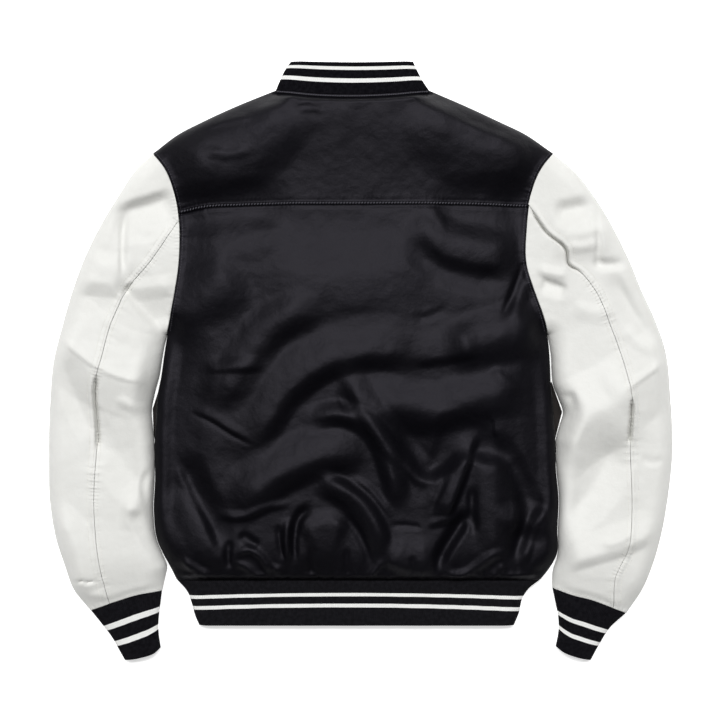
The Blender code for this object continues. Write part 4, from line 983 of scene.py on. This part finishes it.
class Signal:
    """Something that varies in a node tree. Sums, products and powers of it become Math nodes."""

    def __init__(self, nodes, socket):
        self.nodes, self.socket = nodes, socket

    def math(self, operation, *values):
        return self.nodes.node("ShaderNodeMath", dict(enumerate(values)), operation=operation)

    def __add__(self, other):
        return self.math("ADD", self, other)

    def __sub__(self, other):
        return self.math("SUBTRACT", self, other)

    def __rsub__(self, other):
        return self.math("SUBTRACT", other, self)

    def __mul__(self, other):
        return self.math("MULTIPLY", self, other)

    def __pow__(self, other):
        return self.math("POWER", self, other)

    __radd__, __rmul__ = __add__, __mul__

    def wave(self):
        return self.math("SINE", self)

    def size(self):
        return self.math("ABSOLUTE", self)

    def smooth(self, low, high):
        return self.nodes.node("ShaderNodeMapRange", {"Value": self, "From Min": low, "From Max": high},
                               interpolation_type="SMOOTHSTEP")


class Nodes:
    """A node tree. Every node is made by one method: its type and settings, then its values and links."""

    def feed(self, socket, value):
        if isinstance(value, Signal):
            self.tree.links.new(value.socket, socket)
        else:
            socket.default_value = value

    def node(self, kind, values=None, output=0, **settings):
        made = self.tree.nodes.new(kind)
        for key, value in settings.items():
            setattr(made, key, value)
        for key, value in (values or {}).items():
            self.feed(made.inputs[key], value)
        return Signal(self, made.outputs[output]) if made.outputs else None


class Shape(Nodes):
    """A Geometry Nodes tree with named inputs: its sizes, and the finish that its result gets."""

    def __init__(self, name, *sizes):
        self.tree = bpy.data.node_groups.new(name, "GeometryNodeTree")
        sockets = self.tree.interface
        kinds = [("Geometry", "Geometry"), *((size, "Float") for size in sizes), ("Finish", "Material")]
        for label, kind in kinds:
            sockets.new_socket(name=label, in_out="INPUT", socket_type=f"NodeSocket{kind}")
        sockets.new_socket(name="Geometry", in_out="OUTPUT", socket_type="NodeSocketGeometry")
        self.inputs = {label: self.node("NodeGroupInput", output=label) for label, _ in kinds}

    def close(self, geometry):
        realized = self.node("GeometryNodeRealizeInstances", {"Geometry": geometry})
        dressed = self.node("GeometryNodeSetMaterial",
                            {"Geometry": realized, "Material": self.inputs["Finish"]})
        self.node("NodeGroupOutput", {0: dressed})
        return self

    def apply(self, made, **values):
        """Run the tree on an object with these inputs, and keep the result as the object's plain mesh."""
        modifier = made.modifiers.new(self.tree.name, "NODES")
        modifier.node_group = self.tree
        for item in self.tree.interface.items_tree:
            if item.in_out == "INPUT" and item.name in values:
                modifier[item.identifier] = values[item.name]
        graph = bpy.context.evaluated_depsgraph_get()
        mesh, old = bpy.data.meshes.new_from_object(made.evaluated_get(graph)), made.data
        made.modifiers.clear()
        made.data = mesh
        mesh.name = made.name
        bpy.data.meshes.remove(old)


def rib_shape():
    """Raise the wales of a knit: a round rib with a narrow groove on both sides, on the outer side only."""
    shape = Shape("knitted_ribs", "Depth")
    wale, outside = (shape.node("GeometryNodeInputNamedAttribute", {"Name": name}, data_type="FLOAT")
                     for name in ("wale", "outside"))
    depth = ((wale * math.pi).wave().size() ** 0.7 - 1.0) * shape.inputs["Depth"] * outside
    offset = shape.node("ShaderNodeVectorMath", {0: shape.node("GeometryNodeInputNormal"), "Scale": depth},
                        operation="SCALE")
    return shape.close(shape.node("GeometryNodeSetPosition",
                                  {"Geometry": shape.inputs["Geometry"], "Offset": offset}))


def stitch_shape():
    """A row of sewn stitches along each line of edges."""
    shape = Shape("sewn_stitches", "Pitch", "Stitch", "Thread", "Turn")
    curve = shape.node("GeometryNodeMeshToCurve", {"Mesh": shape.inputs["Geometry"]})
    points = shape.node("GeometryNodeResampleCurve", {"Curve": curve, "Length": shape.inputs["Pitch"]},
                        mode="LENGTH")
    along = shape.node("FunctionNodeAlignRotationToVector",
                       {"Vector": shape.node("GeometryNodeInputTangent")}, axis="X")
    bead = shape.node("GeometryNodeMeshUVSphere", {"Segments": 6, "Rings": 5, "Radius": 0.5})
    size = shape.node("ShaderNodeCombineXYZ", {"X": shape.inputs["Stitch"], "Y": shape.inputs["Thread"],
                                               "Z": shape.inputs["Thread"]})
    slant = shape.node("ShaderNodeCombineXYZ", {"Z": shape.inputs["Turn"]})
    stitch = shape.node("GeometryNodeTransform", {"Geometry": bead, "Scale": size, "Rotation": slant})
    return shape.close(shape.node("GeometryNodeInstanceOnPoints",
                                  {"Points": points, "Instance": stitch, "Rotation": along}))


# ---------------------------------------------------------------- finishes

class Finish(Nodes):
    """A material of its own node tree. Constants go straight to the shader."""

    def __init__(self, name, **constants):
        self.material = bpy.data.materials.new(name)
        self.material.use_nodes = True
        self.tree = self.material.node_tree
        self.shader = self.tree.nodes["Principled BSDF"]
        for label, value in constants.items():
            self.set(label.replace("_", " "), value)
        self.place = self.node("ShaderNodeTexCoord", output=3)

    def set(self, label, value):
        self.feed(self.shader.inputs[label], value)

    def look(self, base, roughness, normal=None):
        self.set("Base Color", base)
        self.set("Roughness", roughness)
        if normal is not None:
            self.set("Normal", normal)
        return self

    def part(self, axis):
        return self.node("ShaderNodeSeparateXYZ", {0: self.place}, output=axis)

    def attribute(self, name):
        return self.node("ShaderNodeAttribute", output=2, attribute_name=name)

    def noise(self, scale, detail=2.0, roughness=0.5):
        return self.node("ShaderNodeTexNoise", {"Vector": self.place, "Scale": scale, "Detail": detail,
                                                "Roughness": roughness})

    def cells(self, scale, smoothness):
        return self.node("ShaderNodeTexVoronoi", {"Vector": self.place, "Scale": scale,
                                                  "Smoothness": smoothness}, feature="SMOOTH_F1")

    def mix(self, factor, first, second):
        first, second = (value if isinstance(value, Signal) else (*value, 1.0) for value in (first, second))
        return self.node("ShaderNodeMix", {0: factor, 6: first, 7: second}, output=2, data_type="RGBA")

    def bump(self, height, distance, strength=1.0, under=None):
        values = {"Height": height, "Distance": distance, "Strength": strength}
        return self.node("ShaderNodeBump", values if under is None else {**values, "Normal": under})

    def handled(self, pitch, scale, strength):
        """A rumpled surface with small gathers between the stitches, beside a seam and uneven along it."""
        along, away = self.attribute("seam_place"), self.attribute("seam_gap")
        pull = (along * (2 * math.pi / pitch) + 2.0 * self.noise(60.0)).wave()
        gathers = pull * (0.08 + 0.92 * self.noise(22.0, 1.0).smooth(0.45, 0.62)) \
            * (1.0 - away.smooth(1.5, 10.0))
        return self.bump(gathers, 0.0003, 0.5, self.bump(self.noise(scale, 4.0, 0.55), 0.0014, strength))


def satin_finish():
    """The body's black satin: a fine weave, uneven gloss and faint handling marks."""
    finish = Finish("black_satin", Specular_IOR_Level=0.17, Specular_Tint=(0.90, 0.86, 1.0, 1.0))
    cloud, grain = finish.noise(9.0, 3.0), finish.noise(420.0, 2.0, 0.6)
    across, along = finish.part(0) * (2 * math.pi / 0.0011), finish.part(1) * (2 * math.pi / 0.0008)
    weave = (across + along).wave() * 0.5 + along.wave() * 0.5
    return finish.look(finish.mix((cloud * 0.8 + grain * 0.25).smooth(0.3, 0.8),
                                  (0.0009, 0.0008, 0.0015), (0.0023, 0.0022, 0.0035)),
                       0.47 + 0.06 * cloud + 0.04 * grain,
                       finish.bump(weave, 0.00006, 0.5, finish.handled(5.2, 95.0, 0.55)))


def sleeve_finish():
    """The sleeves' off-white coated cloth: a fine pebble grain, slightly yellowed and rubbed."""
    finish = Finish("ivory_coating", Specular_IOR_Level=0.22)
    cloud, fine = finish.noise(11.0, 3.0), finish.noise(130.0, 3.0)
    return finish.look(finish.mix((cloud * 0.7 + fine * 0.3).smooth(0.3, 0.7),
                                  (0.675, 0.675, 0.648), (0.715, 0.715, 0.69)),
                       0.52 + 0.12 * cloud,
                       finish.bump(finish.cells(820.0, 0.6), 0.0001, 0.5, finish.handled(4.4, 75.0, 0.45)))


def knit_finish(name, stripes, bow, lean, gloss=0.1):
    """Ribbed knit with two woven-in stripes: black, and off-white between the given courses (mm)."""
    finish = Finish(name, Specular_IOR_Level=gloss)
    wale, course = finish.attribute("wale"), finish.attribute("course")
    # the knit is stretched a little more in its middle, so its courses bow
    share = wale * lean[0]
    bowed = course + (1 - (2 * share - 1) ** 2) * bow + share * lean[1]
    loop = (course * (math.pi / 0.85)).wave().size()
    wavy = bowed + loop * 0.3
    white = 0.0
    for low, high in stripes:
        white = (wavy.smooth(low - 0.2, low + 0.2) - wavy.smooth(high - 0.2, high + 0.2)) + white
    fuzz, fluff = finish.noise(900.0, 3.0, 0.7), finish.noise(230.0, 3.0, 0.6).smooth(0.3, 0.7)
    dark = finish.mix(fluff * 0.7 + fuzz * 0.3, (0.0010, 0.0008, 0.0019), (0.0072, 0.0069, 0.0092))
    pale = finish.mix(fuzz, (0.76, 0.76, 0.745), (0.87, 0.87, 0.855))
    loops = finish.bump(loop * (0.4 + 0.6 * (wale * math.pi).wave().size()), 0.00035, 0.6)
    return finish.look(finish.mix(white, dark, pale), 0.78 + 0.15 * fuzz,
                       finish.bump(fuzz, 0.0002, 0.4, loops))


def thread_finish(name, tone):
    finish = Finish(name, Specular_IOR_Level=0.4)
    twist = (finish.part(0) * 9000.0 + finish.part(1) * 7000.0).wave()
    fuzz = finish.noise(700.0, 2.0)
    return finish.look(finish.mix(fuzz, tone, [1.35 * part for part in tone]), 0.45 + 0.2 * fuzz,
                       finish.bump(twist, 0.0001, 0.4))


def welt_finish():
    """Dark brown glossy leather."""
    finish = Finish("brown_leather", Specular_IOR_Level=0.3, Coat_Roughness=0.16)
    cloud = finish.noise(60.0, 3.0)
    finish.set("Coat Weight", 0.1 + 0.12 * cloud)
    return finish.look(finish.mix(cloud, (0.0034, 0.0022, 0.0017), (0.010, 0.006, 0.0045)),
                       0.26 + 0.14 * cloud, finish.bump(finish.cells(900.0, 0.5), 0.00015, 0.5))


def cap_finish():
    """Black enamelled snap caps with rubbed rims."""
    finish = Finish("black_enamel", Metallic=0.6)
    scuff = finish.noise(260.0, 5.0, 0.7)
    return finish.look(finish.mix(scuff.smooth(0.55, 0.75), (0.02, 0.02, 0.022), (0.09, 0.085, 0.08)),
                       0.25 + 0.25 * scuff, finish.bump(scuff, 0.00008, 0.5))


def floor_finish():
    finish = Finish("pale_floor", Specular_IOR_Level=0.1, Emission_Strength=0.6, Emission_Color=(1, 1, 1, 1))
    cloud = finish.noise(4.0, 2.0)
    return finish.look(finish.mix(cloud, (0.955, 0.955, 0.955), (0.965, 0.965, 0.965)), 0.85 + 0.1 * cloud)


# ---------------------------------------------------------------- studio

def make_studio():
    """A pale floor just under the jacket, and one wide softbox past its collar."""
    half, depth = 6000.0, -0.4    # millimetres
    corners = [(x * half, y * half, depth) for x, y in ((-1, -1), (1, -1), (1, 1), (-1, 1))]
    floor = new_object("studio_floor", corners, [], [(0, 1, 2, 3)])
    floor.data.materials.append(floor_finish().material)

    scene = bpy.context.scene
    light = bpy.data.lights.new("top_edge_softbox", "AREA")
    light.shape = "RECTANGLE"
    light.size, light.size_y = 9.6, 3.2
    light.energy = 1400
    box = bpy.data.objects.new(light.name, light)
    box.location = (-0.4, 4.4, 9.2)
    box.rotation_euler = (-Vector(box.location)).to_track_quat("-Z", "Y").to_euler()
    scene.collection.objects.link(box)

    scene.world = bpy.data.worlds.new("studio_air")
    scene.world.use_nodes = True
    air = scene.world.node_tree.nodes["Background"].inputs
    air["Color"].default_value = (1, 1, 1, 1)
    air["Strength"].default_value = 0.07
    scene.view_settings.view_transform = "Standard"


def make_camera():
    """Straight above the jacket, far enough away for 0.9 m of floor to fill the frame."""
    lens = bpy.data.cameras.new("camera")
    lens.lens = 85
    lens.sensor_width = 36
    framed, height = 0.9, 0.015
    made = bpy.data.objects.new("camera", lens)
    made.location = (-0.00125, 0.00125, height + framed * lens.lens / lens.sensor_width)
    bpy.context.scene.collection.objects.link(made)
    bpy.context.scene.camera = made


# ---------------------------------------------------------------- the jacket

def dress(made, finish, node, slot, flat, area, rests_on, trims=()):
    """Give a cloth piece its finish, fix it to the body and hide the solid that it stands for. How it was cut
    (flat, area) is not used.
    """
    if not made.data.materials:
        made.data.materials.append(finish.material)
    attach(made, BODY)
    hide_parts(node)


def repaint(prefix, finish):
    for name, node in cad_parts.items():
        if name.startswith(prefix):
            for slot in node.material_slots:
                slot.material = finish.material


def beside(line, away, start, end):
    """A row of points that far to the left of a line (or to its right, where the distance is negative)."""
    xy = line(np.linspace(start, end, max(8, int(line.length * (end - start) / 2.0))))
    along = unit(np.gradient(xy, axis=0))
    return xy + away * np.stack([-along[:, 1], along[:, 0]], axis=1)


def back_surface(piece):
    return lambda xy: body_top(xy) + back_raise(xy, piece)


def sleeve_surface(side, piece):
    return lambda xy: sleeve_top(xy) + sleeve_raise(xy, side, piece)


def make_stitches(black, ivory):
    """Rows of stitches beside the seams, laid on the cloth, by the piece that each is sewn through."""
    shape = stitch_shape()

    def row(name, slot, finish, surface, *lines, thread=0.00062, pitch=0.0034, stitch=0.0027, turn=0.0):
        points, edges = [], []
        for xy in lines:
            edges += [(len(points) + k, len(points) + k + 1) for k in range(len(xy) - 1)]
            points += [(x, y, z) for (x, y), z in zip(xy, surface(xy[None])[0] + STITCH_LIFT)]
        made = new_object(f"{name}_stitches", points, edges, [])
        shape.apply(made, Pitch=pitch, Stitch=stitch, Thread=thread, Turn=turn, Finish=finish.material)
        made.data.shade_smooth()
        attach(made, BODY)
        return made

    rows = {"yoke": [row("yoke", "shell", black, back_surface("body"), beside(YOKE, -1.3, 0.006, 0.994),
                         thread=0.0018, pitch=0.00375, stitch=0.0035, turn=0.95),
                     row("neck", "shell", black, back_surface("yoke"), beside(NECK, -1.9, 0.02, 0.98),
                         thread=0.0015, pitch=0.0030, stitch=0.0034, turn=0.25)],
            "body": []}
    for side, sign in zip(SIDES, (1, -1)):
        hole, seam, cuff = (LINES[name, side] for name in ("armhole", "arm_seam", "cuff_seam"))
        split = YOKE_SHARE[side]
        for piece, name, start, end in (("yoke", "yoke", 0.02, split - 0.01),
                                        ("body", "back", split + 0.01, 0.97)):
            rows[piece].append(row(f"{name}_armhole_{side}", "shell", black, back_surface(piece),
                                   beside(hole, sign * 3.4, start, end)))
        outer, under = (sleeve_surface(side, piece) for piece in ("outer", "under"))
        rows[side, "outer"] = [row(f"arm_seam_{side}", "sleeve", ivory, outer,
                                   beside(seam, -sign * 3.4, 0.02, 0.985),
                                   beside(seam, -sign * 8.6, 0.03, 0.985))]
        rows[side, "under"] = [row(f"arm_under_{side}", "sleeve", ivory, under,
                                   beside(seam, sign * 4.6, 0.10, 0.985)),
                               row(f"cuff_seam_{side}", "sleeve", ivory, under,
                                   beside(cuff, 3.0 * sign, 0.55, 0.97))]
    return rows


def main():
    satin, ivory = satin_finish(), sleeve_finish()
    # the black thread's tone is partly its own dark grey and partly a painted glint, lighter than the thread
    # is
    stitches = make_stitches(thread_finish("black_thread_painted_glint", (0.052, 0.050, 0.062)),
                             thread_finish("ivory_thread", (0.62, 0.61, 0.57)))
    dress(make_yoke(), satin, "back_yoke", "shell", (0.52, 0.165), 0.0675, ["front_left_panel"],
          stitches["yoke"])
    dress(make_back(), satin, "back_body", "shell", (0.54, 0.50), 0.25, ["front_left_panel"],
          stitches["body"])
    cuts = {("left", "outer"): ((0.20, 0.60), 0.085), ("left", "under"): ((0.18, 0.50), 0.068),
            ("right", "outer"): ((0.19, 0.60), 0.079), ("right", "under"): ((0.20, 0.53), 0.083)}
    for side in SIDES:
        dress(make_front(side), satin, f"front_{side}", "shell", (0.275, 0.62), 0.15, ["studio_floor"])
        for piece in ("outer", "under"):
            dress(make_sleeve(side, piece), ivory, f"sleeve_{side}_{piece}", "sleeve", *cuts[side, piece],
                  ["studio_floor"], stitches[side, piece])

    ribs = rib_shape()
    knits = {"hem_rib": ([(21.9, 25.9), (34.3, 38.4)], 3.9, (1 / 175, -2.6), 0.14),
             "collar_rib": ([(14.9, 19.9), (30.2, 34.5)], 0.0, (1 / 78, 0.0), 0.05),
             "cuff_left": ([(25.0, 32.2), (48.2, 54.9)], 0.0, (1 / 36, 4.0)),
             "cuff_right": ([(30.8, 36.3), (49.4, 54.4)], -0.9, (1 / 36, 1.0))}
    for node, made, flat, area in (("hem_rib", make_hem(), (0.96, 0.06), 0.057),
                                   ("collar_rib", make_collar(), (0.48, 0.045), 0.021),
                                   ("cuff_left", make_cuff("left"), (0.19, 0.078), 0.012),
                                   ("cuff_right", make_cuff("right"), (0.19, 0.078), 0.012)):
        finish = knit_finish(f"{node.removesuffix('_rib')}_rib_knit", *knits[node])
        ribs.apply(made, Depth=0.00055, Finish=finish.material)
        dress(made, finish, node, "knit", flat, area, ["studio_floor"])

    repaint("pocket_welt", welt_finish())
    repaint("snap_cap", cap_finish())
    make_studio()
    make_camera()


main()
